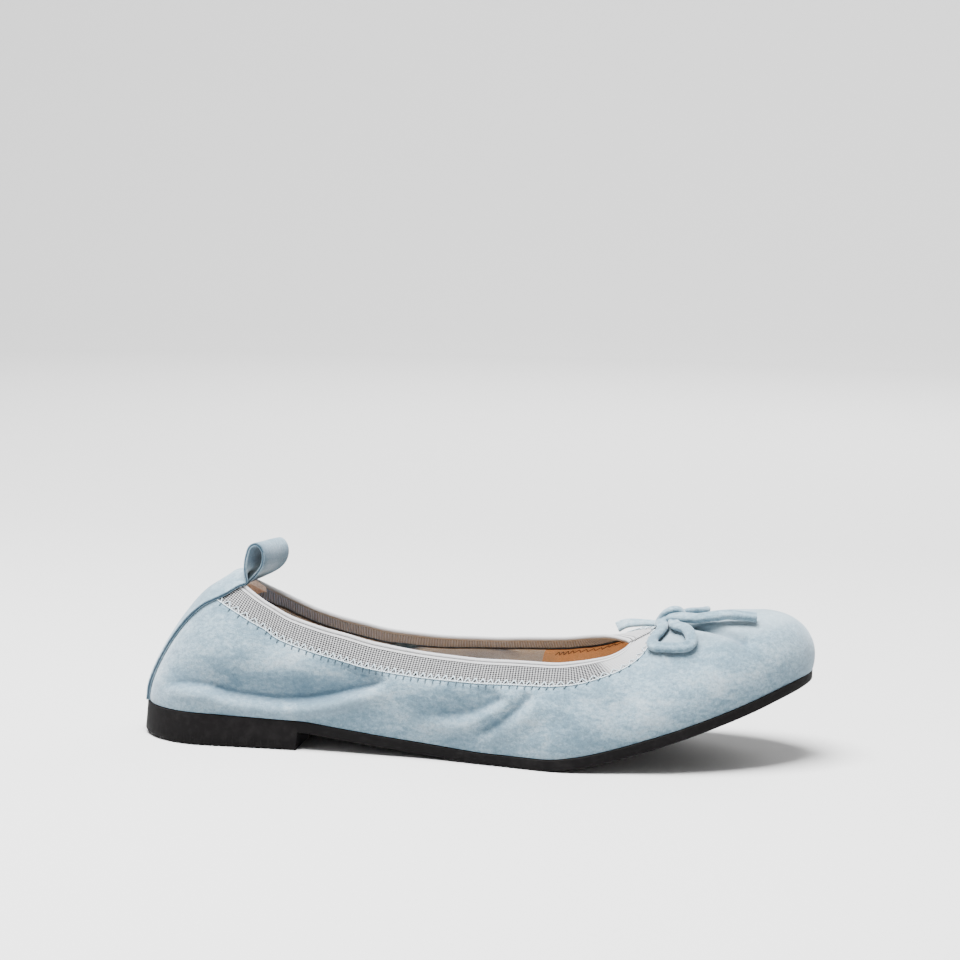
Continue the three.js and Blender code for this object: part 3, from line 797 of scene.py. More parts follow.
def tube(
    name: str,
    path: Points,
    ups: Points,
    section: Points,
    scale: Points | None = None,
    end_inset: float = 0.0,
) -> Piece:
    """Sweeps a closed section along a path as a solid with closed ends.

    Args:
        name: the piece's name.
        path: centre points in metres.
        ups: the direction that the section's second axis follows.
        section: closed section, across and up, in metres.
        scale: size of the section at each point, as a share.
        end_inset: how far each end's cap bulges out, in metres.

    Returns:
        The swept piece.
    """
    heading = unit(np.gradient(path, axis=0))
    across = unit(np.cross(heading, ups))
    up = unit(np.cross(across, heading))
    size = np.ones(len(path)) if scale is None else scale
    loop = np.vstack([section, section[:1]])
    rings = path[:, None, :] + size[:, None, None] * (
        across[:, None, :] * loop[None, :, :1] + up[:, None, :] * loop[None, :, 1:]
    )
    caps = []
    for ring, centre, out in ((rings[0], path[0], -heading[0]), (rings[-1], path[-1], heading[-1])):
        middle = np.repeat((centre + out * end_inset)[None, :], len(loop), axis=0)
        rim = mix(centre, ring, 0.9) + out * end_inset * 0.8
        caps.append((middle, rim))
    whole = np.stack([caps[0][0], caps[0][1], *rings, caps[1][1], caps[1][0]])
    steps = np.linalg.norm(np.diff(whole.mean(axis=1), axis=0), axis=1)
    run = np.concatenate([[0], np.cumsum(steps)]) * 1000
    girth = np.linalg.norm(np.diff(loop, axis=0), axis=1)
    round_ = np.concatenate([[0], np.cumsum(girth)]) * 1000
    uv = np.stack(np.meshgrid(run, round_, indexing="ij"), axis=-1)
    piece = net(name, whole, uv)
    edit(piece, merge_doubles, face_out)
    return piece


def ellipse(width: float, thickness: float, count: int, flat: float = 1.0) -> Points:
    """Returns an oval section in metres, squarer where flat is below 1."""
    turn = np.linspace(0, 2 * math.pi, count, endpoint=False)
    x = np.sign(np.cos(turn)) * np.abs(np.cos(turn)) ** flat
    y = np.sign(np.sin(turn)) * np.abs(np.sin(turn)) ** flat
    return np.stack([x * width / 2000, y * thickness / 2000], axis=1)


# Finishes


class Board:
    """A material under construction, with its nodes and links."""

    def __init__(self, name: str) -> None:
        """Starts a material with one principled shader."""
        self.material = bpy.data.materials.new(name)
        self.material.use_nodes = True
        self.tree = self.material.node_tree
        self.shader = self.tree.nodes["Principled BSDF"]

    def node(self, kind: str, inputs: dict | None = None, **settings: object) -> bpy.types.Node:
        """Adds a node.

        Args:
            kind: Blender's name of the node's type.
            inputs: a value or an output socket for each named or numbered input.
            settings: properties of the node.

        Returns:
            The node.
        """
        made = self.tree.nodes.new(kind)
        for name, value in settings.items():
            setattr(made, name, value)
        for name, value in (inputs or {}).items():
            if isinstance(value, Socket):
                self.tree.links.new(value, made.inputs[name])
            else:
                made.inputs[name].default_value = value
        return made

    def math(self, operation: str, *values: object) -> Socket:
        """Adds a maths node over two or three values and returns its result."""
        inputs = dict(enumerate(values))
        return self.node("ShaderNodeMath", inputs, operation=operation).outputs[0]

    def noise(self, where: object, scale: float, detail: float = 2, **more: float) -> object:
        """Adds noise over a coordinate and returns its value."""
        inputs = {"Vector": where, "Scale": scale, "Detail": detail, **more}
        return self.node("ShaderNodeTexNoise", inputs).outputs["Fac"]

    def steps(self, value: object, *stops: tuple[float, tuple | float]) -> object:
        """Adds a colour ramp over a value.

        Args:
            value: the socket to read.
            stops: a position with a colour or a grey each.

        Returns:
            The colour's socket.
        """
        ramp = self.node("ShaderNodeValToRGB", {"Fac": value})
        elements = ramp.color_ramp.elements
        while len(elements) < len(stops):
            elements.new(0.5)
        for element, (at, colour) in zip(elements, stops):
            element.position = at
            shade = (colour,) * 3 if isinstance(colour, (int, float)) else colour
            element.color = (*shade, 1)
        return ramp.outputs["Color"]

    def blend(self, share: object, a: object, b: object, how: str = "MIX") -> object:
        """Adds a colour mix and returns its result."""
        made = self.node("ShaderNodeMix", data_type="RGBA", blend_type=how)
        for index, value in ((0, share), (6, a), (7, b)):
            if isinstance(value, Socket):
                self.tree.links.new(value, made.inputs[index])
            else:
                made.inputs[index].default_value = (*value, 1) if index else value
        return made.outputs[2]

    def own_place(self) -> object:
        """Returns the piece's own coordinates."""
        return self.node("ShaderNodeTexCoord").outputs["Object"]

    def stored(self, name: str) -> object:
        """Returns a number that the piece's vertices hold."""
        made = self.node("ShaderNodeAttribute", attribute_name=name)
        return made.outputs["Fac"]

    def relief(
        self, height: object, distance: float, strength: float, under: object = None
    ) -> object:
        """Adds a bump and returns its normal."""
        inputs = {"Height": height, "Distance": distance, "Strength": strength}
        if under is not None:
            inputs["Normal"] = under
        return self.node("ShaderNodeBump", inputs).outputs["Normal"]

    def finish(self, colour: object, normal: object, **fixed: object) -> Material:
        """Connects colour and relief and sets the shader's fixed values.

        Args:
            colour: socket or colour of the surface.
            normal: socket of its relief.
            fixed: values of the shader's other inputs, with _ for a space.

        Returns:
            The material.
        """
        if isinstance(colour, Socket):
            self.tree.links.new(colour, self.shader.inputs["Base Color"])
        else:
            self.shader.inputs["Base Color"].default_value = (*colour, 1)
        if normal is not None:
            self.tree.links.new(normal, self.shader.inputs["Normal"])
        for name, value in fixed.items():
            socket = self.shader.inputs[name.replace("_", " ")]
            if isinstance(value, Socket):
                self.tree.links.new(value, socket)
            else:
                socket.default_value = value
        return self.material


@dataclass(frozen=True)
class Suede:
    """Powder-blue suede with a brushed nap, lighter and darker by patches."""

    name: str = "powder_blue_suede"
    deep: tuple = (0.09, 0.15, 0.192)
    body: tuple = (0.128, 0.198, 0.246)
    pale: tuple = (0.187, 0.267, 0.317)
    # the palest nap tone, which also colours the painted highlight
    nap_light_and_highlight: tuple = (0.27, 0.34, 0.38)
    # the colour of the painted shade
    hollow: tuple = (0.035, 0.07, 0.105)
    patch_size: float = 20
    brushing: tuple = (0.3, 0.6, 0.4)
    streak: tuple = (1, 1.3, 1.9)

    def make(self) -> Material:
        """Builds the material."""
        board = Board(self.name)
        place = board.own_place()
        turned = board.node(
            "ShaderNodeMapping",
            {"Vector": place, "Rotation": self.brushing, "Scale": self.streak},
        ).outputs[0]
        patches = board.noise(turned, 1000 / self.patch_size, 3, Distortion=0.7)
        brushed = board.noise(turned, 9000 / self.patch_size, 4, Distortion=0.4)
        nap = board.noise(place, 2300, 3)
        grain = board.noise(place, 900, 3)
        tone = board.math("MULTIPLY_ADD", brushed, 0.45, board.math("MULTIPLY", patches, 0.75))
        colour = board.steps(
            tone, (0.45, self.deep), (0.57, self.body), (0.67, self.pale), (0.79, self.nap_light_and_highlight)
        )
        speck = board.steps(nap, (0.32, 0.74), (0.5, 1.0), (0.7, 1.18))
        clump = board.steps(grain, (0.34, 0.8), (0.5, 1.0), (0.68, 1.12))
        colour = board.blend(0.8, colour, speck, "MULTIPLY")
        colour = board.blend(0.8, colour, clump, "MULTIPLY")
        # Painted shade where the hollow attribute is stored, and painted highlight where the ridge
        # attribute is stored.
        colour = board.blend(board.stored("hollow"), colour, self.hollow)
        colour = board.blend(board.stored("ridge"), colour, self.nap_light_and_highlight)
        rough = board.relief(grain, 0.0003, 0.35)
        return board.finish(
            colour,
            board.relief(nap, 0.00016, 0.6, rough),
            Roughness=0.96,
            Specular_IOR_Level=0.12,
            Sheen_Weight=0.35,
            Sheen_Roughness=0.55,
            Sheen_Tint=(0.86, 0.93, 1.0, 1),
        )


@dataclass(frozen=True)
class RibbedElastic:
    """Light grey woven elastic, with a plain welt at its top edge."""

    name: str = "ribbed_elastic"
    pitch: float = 0.85
    run_pitch: float = 1.0
    yarn: tuple = (0.35, 0.35, 0.355)
    gap: tuple = (0.014, 0.014, 0.017)
    welt: tuple = (0.33, 0.33, 0.335)
    # Painted light on the band's inside face: a cooler tint, and a paler one at the heel.
    shade: tuple = (0.93, 1.06, 1.28)
    heel_shade: tuple = (1.14, 1.24, 1.36)
    # Painted light: a flat grey for the bead's inner face, set to how that face looks lit from
    # above.
    rim: tuple = (0.3, 0.303, 0.31)

    def make(self) -> Material:
        """Builds the material on the band's own UV map, which is in millimetres."""
        board = Board(self.name)
        flat = board.node("ShaderNodeUVMap", uv_map="UVMap").outputs[0]
        parts = board.node("ShaderNodeSeparateXYZ", {0: flat}).outputs
        full = 2 * math.pi
        warp = board.math("COSINE", board.math("MULTIPLY", parts[0], full / self.run_pitch))
        weft = board.math("COSINE", board.math("MULTIPLY", parts[1], full / self.pitch))
        over = board.math("ADD", warp, board.math("MULTIPLY", weft, 0.75))
        woven = board.steps(board.math("MULTIPLY_ADD", over, 0.25, 0.5), (0.36, 0.0), (0.72, 1.0))
        # Where inside is stored the weave is softer and the colour gets a cooler tint as painted
        # light, and a paler tint at the heel where heelward is stored.
        inside = board.stored("inside")
        woven = board.blend(board.math("MULTIPLY", inside, 0.58), woven, (1, 1, 1))
        wear = board.noise(board.own_place(), 1300, 3)
        yarn = board.blend(board.math("MULTIPLY", wear, 0.4), self.yarn, (0.44, 0.44, 0.44))
        cloth = board.blend(woven, self.gap, yarn)
        plain = board.stored("welt")
        colour = board.blend(plain, cloth, self.welt)
        colour = board.blend(inside, colour, self.shade, "MULTIPLY")
        colour = board.blend(board.stored("heelward"), colour, self.heel_shade, "MULTIPLY")
        # Flat grey on the bead's inner face as painted light where rim is stored, and painted shade
        # in the grooves where groove is stored.
        for name, tint in (("rim", self.rim), ("groove", self.gap)):
            colour = board.blend(board.stored(name), colour, tint)
        fibre = board.relief(wear, 0.0001, 0.3)
        height = board.math("MULTIPLY", over, board.math("SUBTRACT", 1.0, plain))
        return board.finish(
            colour,
            board.relief(height, 0.00012, 0.8, fibre),
            Roughness=0.85,
            Specular_IOR_Level=0.25,
            Sheen_Weight=0.15,
        )


@dataclass(frozen=True)
class Leather:
    """Smooth lining or insole leather with a fine grain."""

    name: str
    light: tuple
    dark: tuple
    roughness: float = 0.62
    # colour of the painted shadow along a lining's top
    edge: tuple = (0.03, 0.022, 0.018)

    def make(self) -> Material:
        """Builds the material."""
        board = Board(self.name)
        place = board.own_place()
        cells = board.node(
            "ShaderNodeTexVoronoi", {"Vector": place, "Scale": 1500.0}, feature="DISTANCE_TO_EDGE"
        ).outputs["Distance"]
        grain = board.steps(cells, (0.0, 0.0), (0.12, 1.0))
        cloud = board.noise(place, 70, 4, Distortion=0.5)
        colour = board.blend(cloud, self.dark, self.light)
        colour = board.blend(0.25, colour, grain, "MULTIPLY")
        # Painted shadow where tucked is stored, along a lining's top edge.
        colour = board.blend(board.stored("tucked"), colour, self.edge)
        fine = board.relief(board.noise(place, 3000, 2), 0.00006, 0.4)
        return board.finish(
            colour,
            board.relief(grain, 0.00008, 0.5, fine),
            Roughness=board.math("MULTIPLY_ADD", cloud, 0.12, self.roughness - 0.06),
            Specular_IOR_Level=0.35,
        )


@dataclass(frozen=True)
class MouldedRubber:
    """Charcoal sole rubber, matte, with scuffs on its edges."""

    name: str = "charcoal_rubber"
    body: tuple = (0.003, 0.0026, 0.0028)
    scuff: tuple = (0.008, 0.0072, 0.0073)

    def make(self) -> Material:
        """Builds the material."""
        board = Board(self.name)
        place = board.own_place()
        drift = board.noise(place, 60, 4, Distortion=0.4)
        fine = board.noise(place, 2200, 3)
        buffed = board.noise(place, 420, 3)
        share = board.math("MULTIPLY_ADD", buffed, 0.5, board.math("MULTIPLY", drift, 0.5))
        mark = board.steps(share, (0.48, 0.0), (0.7, 1.0))
        colour = board.blend(mark, self.body, self.scuff)
        return board.finish(
            colour,
            board.relief(fine, 0.00008, 0.35),
            Roughness=board.math("MULTIPLY_ADD", drift, 0.15, 0.7),
            Specular_IOR_Level=0.1,
        )


@dataclass(frozen=True)
class Thread:
    """Twisted sewing thread."""

    name: str
    colour: tuple
    shade: tuple

    def make(self) -> Material:
        """Builds the material."""
        board = Board(self.name)
        flat = board.node("ShaderNodeUVMap", uv_map="UVMap").outputs[0]
        wave = {"Vector": flat, "Scale": 1.6, "Distortion": 0.6}
        twist = board.node("ShaderNodeTexWave", wave, bands_direction="DIAGONAL").outputs["Fac"]
        colour = board.blend(twist, self.shade, self.colour)
        return board.finish(
            colour,
            board.relief(twist, 0.00005, 0.6),
            Roughness=0.6,
            Specular_IOR_Level=0.4,
            Sheen_Weight=0.1,
        )


def made(recipe: Suede | RibbedElastic | Leather | MouldedRubber | Thread) -> Material:
    """Returns a field that is made from a finish when the shoe is built."""
    return field(default_factory=recipe.make)


@dataclass(frozen=True)
class Finishes:
    """All finishes of the shoe, made once and shared by its pieces."""

    suede: Material = made(Suede())
    elastic: Material = made(RibbedElastic())
    tan: Material = made(Leather("tan_lining_leather", (0.8, 0.5, 0.29), (0.66, 0.4, 0.22)))
    patch: Material = made(Leather("heel_grip_leather", (0.85, 0.67, 0.56), (0.75, 0.56, 0.46)))
    taupe: Material = made(Leather("taupe_lining", (0.6, 0.66, 0.72), (0.52, 0.57, 0.63), 0.8))
    insole: Material = made(Leather("tan_insole_leather", (0.4, 0.22, 0.095), (0.3, 0.15, 0.06)))
    rubber: Material = made(MouldedRubber())
    pale_thread: Material = made(Thread("pale_thread", (0.5, 0.58, 0.62), (0.26, 0.34, 0.39)))
    # The stitch ends: thread in the stitch holes, dark with painted shade.
    shaded_stitch_ends: Material = made(
        Thread("stitch_ends_in_shade", (0.05, 0.09, 0.12), (0.02, 0.04, 0.055))
    )
    dark_thread: Material = made(Thread("brown_thread", (0.14, 0.09, 0.06), (0.06, 0.04, 0.03)))


@dataclass
class SubAssembly:
    """What the shoe's sub-assemblies share: the last, the folds and the finishes."""

    last: Last
    folds: FoldedSuede
    finishes: Finishes

    def dress(
        self,
        piece: Piece,
        finish: Material,
        slot: str | None,
        *stands_for: str,
        angle: float = 55,
    ) -> Piece:
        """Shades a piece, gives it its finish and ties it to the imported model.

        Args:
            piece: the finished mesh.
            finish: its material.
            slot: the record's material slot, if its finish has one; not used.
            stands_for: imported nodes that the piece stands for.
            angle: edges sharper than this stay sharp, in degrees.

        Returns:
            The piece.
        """
        soften(piece, angle)
        piece.data.materials.clear()
        piece.data.materials.append(finish)
        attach(piece, "root")
        if stands_for:
            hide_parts(*stands_for)
        faces = sum(len(p.vertices) - 2 for p in piece.data.polygons)
        log.info("%s: %d triangles", piece.name, faces)
        return piece

    def shell(self, turns: Points, rises: Points, depth: float) -> Points:
        """Lays a net of points under the outside, which follows its folds with softer creases.

        Args:
            turns: turn of each column.
            rises: rise of each row.
            depth: how far under the outside it lies.

        Returns:
            Points in metres, columns by rows by 3.
        """
        turn, rise = np.meshgrid(turns, rises, indexing="ij")
        points = self.last.skin(turn, rise)
        facing = self.last.facing(turn, rise)
        flat = points.reshape(-1, 3)
        move, creased = self.folds.measure(flat)
        move = (move + creased / 2) * self.last.slack(turn, rise).ravel()
        moved = flat + facing.reshape(-1, 3) * (move - depth)[:, None]
        return self.last.placed(moved.reshape(points.shape))


@dataclass
class Upper(SubAssembly):
    """The suede upper with its folds, and the linings inside it.

    Attributes:
        columns_beside: columns of its net beside the opening, on each side.
        flat_width: height that its finish's map gives a side.
        seam_from: rise from which the suede under its sewn edge gets a painted shadow.
        shade_low: a little darkening all over, painted shade low down, and more of it low down
            behind the ball.
        shade_height: height at which the painted shade low down ends.
        ball_from: where the painted shade on the sides behind the ball ends, and over what length.
        shade_fold: painted shade in a fold's hollow, along a crease and under the sewn edge.
        shade_most: the greatest painted shade.
        flat_top: painted highlight on what faces up, from how level, and over what change.
        lining_depth: how far under the outside a lining starts.
        lining_net: a lining's columns and rows.
        lining_step: how much deeper the vamp lining lies than the quarter lining.
        vamp_lining_from: turn at which the vamp lining takes over.
    """

    wall: float = 1.2
    columns_beside: int = 170
    columns_ahead: int = 62
    rows: int = 76
    flat_width: float = 60
    seam_from: float = 0.985
    shade_low: tuple = (0.06, 0.11, 0.12)
    shade_height: float = 32
    ball_from: tuple = (120, 50)
    shade_fold: tuple = (0.28, 0.42, 0.4)
    shade_most: float = 0.7
    flat_top: tuple = (0.48, 0.72, 0.2)
    lining_depth: float = 1.9
    lining_wall: float = 0.3
    lining_net: tuple = (130, 60)
    lining_step: float = 0.08
    vamp_lining_from: float = 0.562

    def columns(self) -> Points:
        """Returns the turns of all columns, from toe tip round the heel to toe tip."""
        t = np.arange(self.columns_beside) / self.columns_beside
        beside = self.last.throat * mix(t, smooth(t), 0.6)
        ahead = np.linspace(self.last.throat, 1, self.columns_ahead)
        one = np.concatenate([beside, ahead])
        return np.concatenate([-one[::-1], one[1:]])

    def build(self) -> Piece:
        """Models the suede as one wall, folded, with painted shade and painted highlight."""
        last = self.last
        turn, rise = np.meshgrid(self.columns(), np.linspace(0, 1, self.rows), indexing="ij")
        grid = last.placed(last.skin(turn, rise))
        uv = np.stack([turn * last.feather[-1].total, rise * self.flat_width], axis=-1)
        piece = net("suede_upper", grid, uv)
        edit(piece, merge_doubles)
        base = vertices(piece) * 1000 + np.array(last.origin)
        normal = vertex_normals(piece)
        if np.sum((base - base.mean(axis=0)) * normal) < 0:
            edit(piece, bpy.ops.mesh.flip_normals)
            normal = -normal
        move, creased = self.folds.measure(base)
        # Painted shadow on the suede just under its sewn edge.
        sewn = (rise > self.seam_from) & (np.abs(turn) < last.throat)
        edge_shadow = lookup(piece, grid, sewn.astype(float))
        move = move * lookup(piece, grid, last.slack(turn, rise))
        place_vertices(piece, last.placed(base + normal * move[:, None]))
        # Painted shade, stored as hollow: a little all over, low down, more low down behind the
        # ball, in the folds' hollows and creases, and under the sewn edge.
        height = base[:, 2] - last.sole_top(base[:, 0])
        ball, blend = self.ball_from
        behind = 1 - smooth((base[:, 0] - ball) / blend)
        overall, low, low_behind = self.shade_low
        shade = overall + (low + low_behind * behind) * (1 - smooth(height / self.shade_height))
        hollow, crease, edge = self.shade_fold
        shade = shade + np.clip(-move / 9, 0, hollow) + crease * creased
        shade = shade + edge * edge_shadow
        paint(piece, "hollow", np.clip(shade, 0, self.shade_most))
        # Painted highlight, stored as ridge: on the folds' ridges, and on faces that look up ahead
        # of the crest's start.
        lightest, level, change = self.flat_top
        flat = lightest * smooth((normal[:, 2] - level) / change)
        flat = flat * (base[:, 0] > last.crest_start[0])
        paint(piece, "ridge", np.clip(np.clip(move / 6, 0, 0.15) + flat, 0, 1))
        wall = self.wall / 1000
        apply_modifier(piece, "SOLIDIFY", thickness=wall, offset=-1.0, use_even_offset=True)
        return self.dress(piece, self.finishes.suede, "suede", "upper", angle=50)

    def lining(self, name: str, start: float, end: float, side: Side, finish: Material) -> Piece:
        """Models a thin lining sheet inside the suede.

        Args:
            name: the piece's name.
            start: turn at its back end.
            end: turn at its front end.
            side: the side of the shoe.
            finish: its material.

        Returns:
            The lining.
        """
        columns, rows = self.lining_net
        turns = side.value * np.linspace(start, end, columns)
        depth = self.lining_depth + self.lining_wall / 2 + self.lining_step * (start > 0.5)
        top = 1.02 if end < self.last.throat else 0.985
        rises = np.linspace(0.02, top, rows)
        grid = self.shell(turns, rises, depth)
        piece = net(name, grid)
        # Painted shadow along the lining's top, under the elastic's lower edge, stored as tucked.
        paint_net(piece, grid, tucked=smooth((rises - 0.955) / 0.012) * 0.9)
        edit(piece, merge_doubles)
        apply_modifier(piece, "SOLIDIFY", thickness=self.lining_wall / 1000, offset=0.0)
        return self.dress(piece, finish, "footbed_leather")

    def line(self) -> None:
        """Builds the quarter and vamp linings of both sides."""
        for side in Side:
            word = side.name.lower()
            split = self.vamp_lining_from
            self.lining(f"quarter_lining_{word}", -0.002, split + 0.002, side, self.finishes.taupe)
            self.lining(f"vamp_lining_{word}", split, 0.995, side, self.finishes.tan)


@dataclass
class ElasticBand(SubAssembly):
    """The ribbed elastic round the opening, with its welt.

    Attributes:
        recess: how far under the shoe's outside it lies.
        bead_reach: height of the welt's bead at its top edge.
        smooth_throat: where it stops being ribbed ahead.
        plain_from: how far up the plain welt begins.
        heelward: where the paler painted light on its inside at the heel ends, and over what
            length.
        stations: sections along each side.
    """

    recess: float = 0.35
    thickness: float = 1.1
    rib_pitch: float = 0.85
    rib_height: float = 0.1
    bead_reach: float = 1.7
    smooth_throat: float = 172.5
    plain_from: float = 9.0
    heelward: tuple = (50, 60)
    stations: int = 260

    def section(self) -> tuple[Points, Points, Points, Points]:
        """Returns the band's section: up, outwards, where it is plain and where its grooves get
        painted shade.
        """
        width = self.last.band_width
        up = np.linspace(0.1, width - self.bead_reach, 78)
        ribs = self.rib_height * np.cos(2 * math.pi * up / self.rib_pitch)
        plain = smooth((up - self.plain_from) / 0.3)
        groove = 0.28 * np.exp(-(((up - self.plain_from) / 0.16) ** 2))
        outer = ribs * (1 - plain) - groove
        turn = np.linspace(-math.pi / 2, math.pi / 2, 15)
        half = self.thickness / 2
        centre = width - self.bead_reach / 2
        bead_up = centre + self.bead_reach / 2 * np.sin(turn)
        bead_out = -half + (half + 0.18) * np.cos(turn)
        under_up = centre + self.bead_reach / 2 * np.sin(turn[::-1])
        under_out = -half - (half + 0.55) * np.cos(turn[::-1])
        inner = -self.thickness - (ribs * 0.8 * (1 - plain))[::-1]
        ups = np.concatenate([up, bead_up, under_up[1:-1], up[::-1]])
        outs = np.concatenate([outer, bead_out, under_out[1:-1], inner])
        weltish = np.ones(len(bead_up) + len(under_up) - 2)
        welts = np.concatenate([plain, weltish, plain[::-1]])
        foot = width - self.bead_reach
        # Painted shade in the groove under the welt and at the bead's foot.
        deep = np.exp(-(((ups - self.plain_from) / 0.2) ** 2)) * 0.5
        deep = np.maximum(deep, np.exp(-(((ups - foot) / 0.24) ** 2)) * 0.75)
        return tuple(np.append(row, row[0]) for row in (ups, outs, welts, deep))

    def build(self) -> Piece:
        """Models the band as one closed ring."""
        last = self.last
        share = np.linspace(0, 1, self.stations)
        ups, outs, welts, groove_shade = self.section()
        rings, runs, begin = [], [], 0.0
        for side, order in ((-1, share), (1, share[::-1][1:-1])):
            top, climb = last.band_top(side, order)
            normal = unit(np.cross(unit(np.gradient(top, axis=0)), climb))
            away = last.outward(last.rim[side].heading(order), side)
            flip = np.sign(np.sum(normal * (away + np.array([0, 0, 1.6])), axis=1))
            normal = normal * flip[:, None]
            base = top - climb * last.band_width
            rings.append(
                base[:, None, :]
                + climb[:, None, :] * ups[None, :, None]
                + normal[:, None, :] * (outs - self.recess)[None, :, None]
            )
            middle = base + climb * last.band_width / 2
            steps = np.linalg.norm(np.diff(middle, axis=0), axis=1)
            runs.append(begin + np.concatenate([[0], np.cumsum(steps)]))
            begin = runs[-1][-1] + 0.5
        ring = np.concatenate([*rings, rings[0][:1]])
        run = np.concatenate([*runs, [begin]])
        grid = last.placed(ring)
        piece = net("elastic_collar", grid, np.stack(np.meshgrid(run, ups, indexing="ij"), axis=-1))
        heel, blend = self.heelward
        near_throat = smooth((ring[:, :1, 0] - self.smooth_throat) / 5) * 0.8
        under = outs < -0.6 * self.thickness
        bead = under & (ups > last.band_width - self.bead_reach)
        inside = (under & ~bead).astype(float)
        # Painted light and shade: the inside's tint, its paler heel, the bead's inner grey and the
        # grooves' shade.
        paint_net(
            piece,
            grid,
            welt=np.maximum(welts[None, :], near_throat),
            inside=inside,
            heelward=inside * (1 - smooth((ring[:, :1, 0] - heel) / blend)),
            groove=groove_shade,
            rim=bead.astype(float),
        )
        edit(piece, merge_doubles, face_out)
        return self.dress(piece, self.finishes.elastic, "elastic", "elastic_band", angle=60)


@dataclass
class ZigzagSeam(SubAssembly):
    """The stitches along the suede's edge, outside and on the lining.

    Attributes:
        stitches: corners of the zigzag on each side.
        first: share of the opening where it begins, beside the heel strap.
        above: how far it reaches up the elastic.
        below: how far it reaches down the suede.
        lift: how far off the suede it stands.
        edge_last: share of the opening where the pale cord along the suede's edge, which stands for
            that edge and its painted highlight, ends.
        lining_first: share of the opening where the lining's zigzag begins.
        lining_drops: how far under the suede's edge its corners lie.
        under_lining: how far under the outside it lies.
        tick_drops: how far under the edge the points of a stitch end lie.
        tick_size: width and thickness of a stitch end.
    """

    stitches: int = 120
    first: float = 0.03
    above: float = 2.4
    below: float = 0.5
    thread: float = 0.45
    lift: float = 0.2
    edge_highlight_width: float = 0.5
    edge_lift: float = 0.22
    edge_last: float = 0.985
    lining_thread: float = 0.32
    lining_first: float = 0.74
    lining_drops: tuple = (2.7, 5.2)
    under_lining: float = 2.38
    tick_drops: tuple = (0.1, 0.5, 1.0, 1.5)
    tick_size: tuple = (0.48, 0.4)

    def under_edge(self, side: int, share: Points, drop: float, lift: float) -> Points:
        """Returns places on the suede under its edge.

        Args:
            side: -1 outer, 1 inner.
            share: shares of the way along the opening.
            drop: how far under the suede's edge they lie.
            lift: how far off the suede they stand.

        Returns:
            Points in millimetres.
        """
        last = self.last
        around = np.linspace(0, last.throat, 400)
        turn = side * np.interp(share, last.opening_share(around), around)
        full = np.ones_like(turn)
        tall = np.linalg.norm(last.skin(turn, full) - last.skin(turn, 0.9 * full), axis=1) * 10
        rise = 1 - drop / tall
        points = last.skin(turn, rise)
        move = self.folds.measure(points)[0] * last.slack(turn, rise) + lift
        return points + last.facing(turn, rise) * move[:, None]

    @staticmethod
    def corners(high: Points, low: Points) -> Points:
        """Returns a zigzag's corners, in turn from the low and from the high points."""
        return np.where((np.arange(len(high)) % 2 == 1)[:, None], high, low)

    def sew(
        self, name: str, corners: Points, finish: Material, width: float, slack: float
    ) -> Piece:
        """Sweeps a thread through corners.

        Args:
            name: the piece's name.
            corners: the points that it passes through.
            finish: its material.
            width: its width in millimetres.
            slack: how far it bulges between corners.

        Returns:
            The thread.
        """
        fine = []
        for a, b in zip(corners[:-1], corners[1:]):
            for t in (0.0, 0.12, 0.5, 0.88):
                fine.append(mix(a, b, t) + np.array([0, 0, math.sin(math.pi * t) * slack]))
        path = np.array(fine + [corners[-1]])
        ups = unit(path - path.mean(axis=0) + np.array([0, 0, 30.0]))
        piece = tube(name, self.last.placed(path), ups, ellipse(width, width * 0.8, 6))
        return self.dress(piece, finish, None, angle=80)

    def build(self) -> None:
        """Sews both sides, outside and inside."""
        last, finishes = self.last, self.finishes
        for side in Side:
            at, word = side.value, side.name.lower()
            share = np.linspace(self.first, 1.0, self.stitches)
            top, climb = last.band_top(at, share)
            high = top - climb * last.band_width + climb * self.above
            zigzag = self.corners(high, self.under_edge(at, share, self.below, self.lift))
            self.sew(f"zigzag_{word}", zigzag, finishes.pale_thread, self.thread, 0.1)
            # A pale cord along the suede's edge stands for that raw edge, with a painted highlight
            # along it.
            share = np.linspace(self.first, self.edge_last, 200)
            edge = self.under_edge(at, share, 0.0, self.edge_lift)
            self.sew(f"edge_highlight_cord_{word}", edge, finishes.pale_thread, self.edge_highlight_width, 0)
            self.ticks(f"stitch_ends_{word}", at)
            share = np.linspace(self.lining_first, 1.0, self.stitches // 5 * 2)
            rows = [self.under_edge(at, share, d, -self.under_lining) for d in self.lining_drops]
            inside = self.corners(*rows)
            self.sew(f"lining_zigzag_{word}", inside, finishes.dark_thread, self.lining_thread, 0)

    def ticks(self, name: str, side: int) -> None:
        """Sews the short ends that pull each stitch into the suede: the thread in its stitch holes,
        dark with painted shade.

        Args:
            name: the piece's name.
            side: -1 outer, 1 inner.
        """
        share = np.linspace(self.first, 1.0, self.stitches)[::2]
        lines = [self.under_edge(side, share, drop, 0.32 - 0.05 * drop) for drop in self.tick_drops]
        parts = []
        for line in np.stack(lines, axis=1):
            facing = np.repeat(np.array([[0, side * 0.6, 0.8]]), len(line), axis=0)
            section = ellipse(*self.tick_size, 6)
            parts.append(tube("tick", self.last.placed(line), facing, section))
        piece = joined(name, parts)
        self.dress(piece, self.finishes.shaded_stitch_ends, None, angle=80)


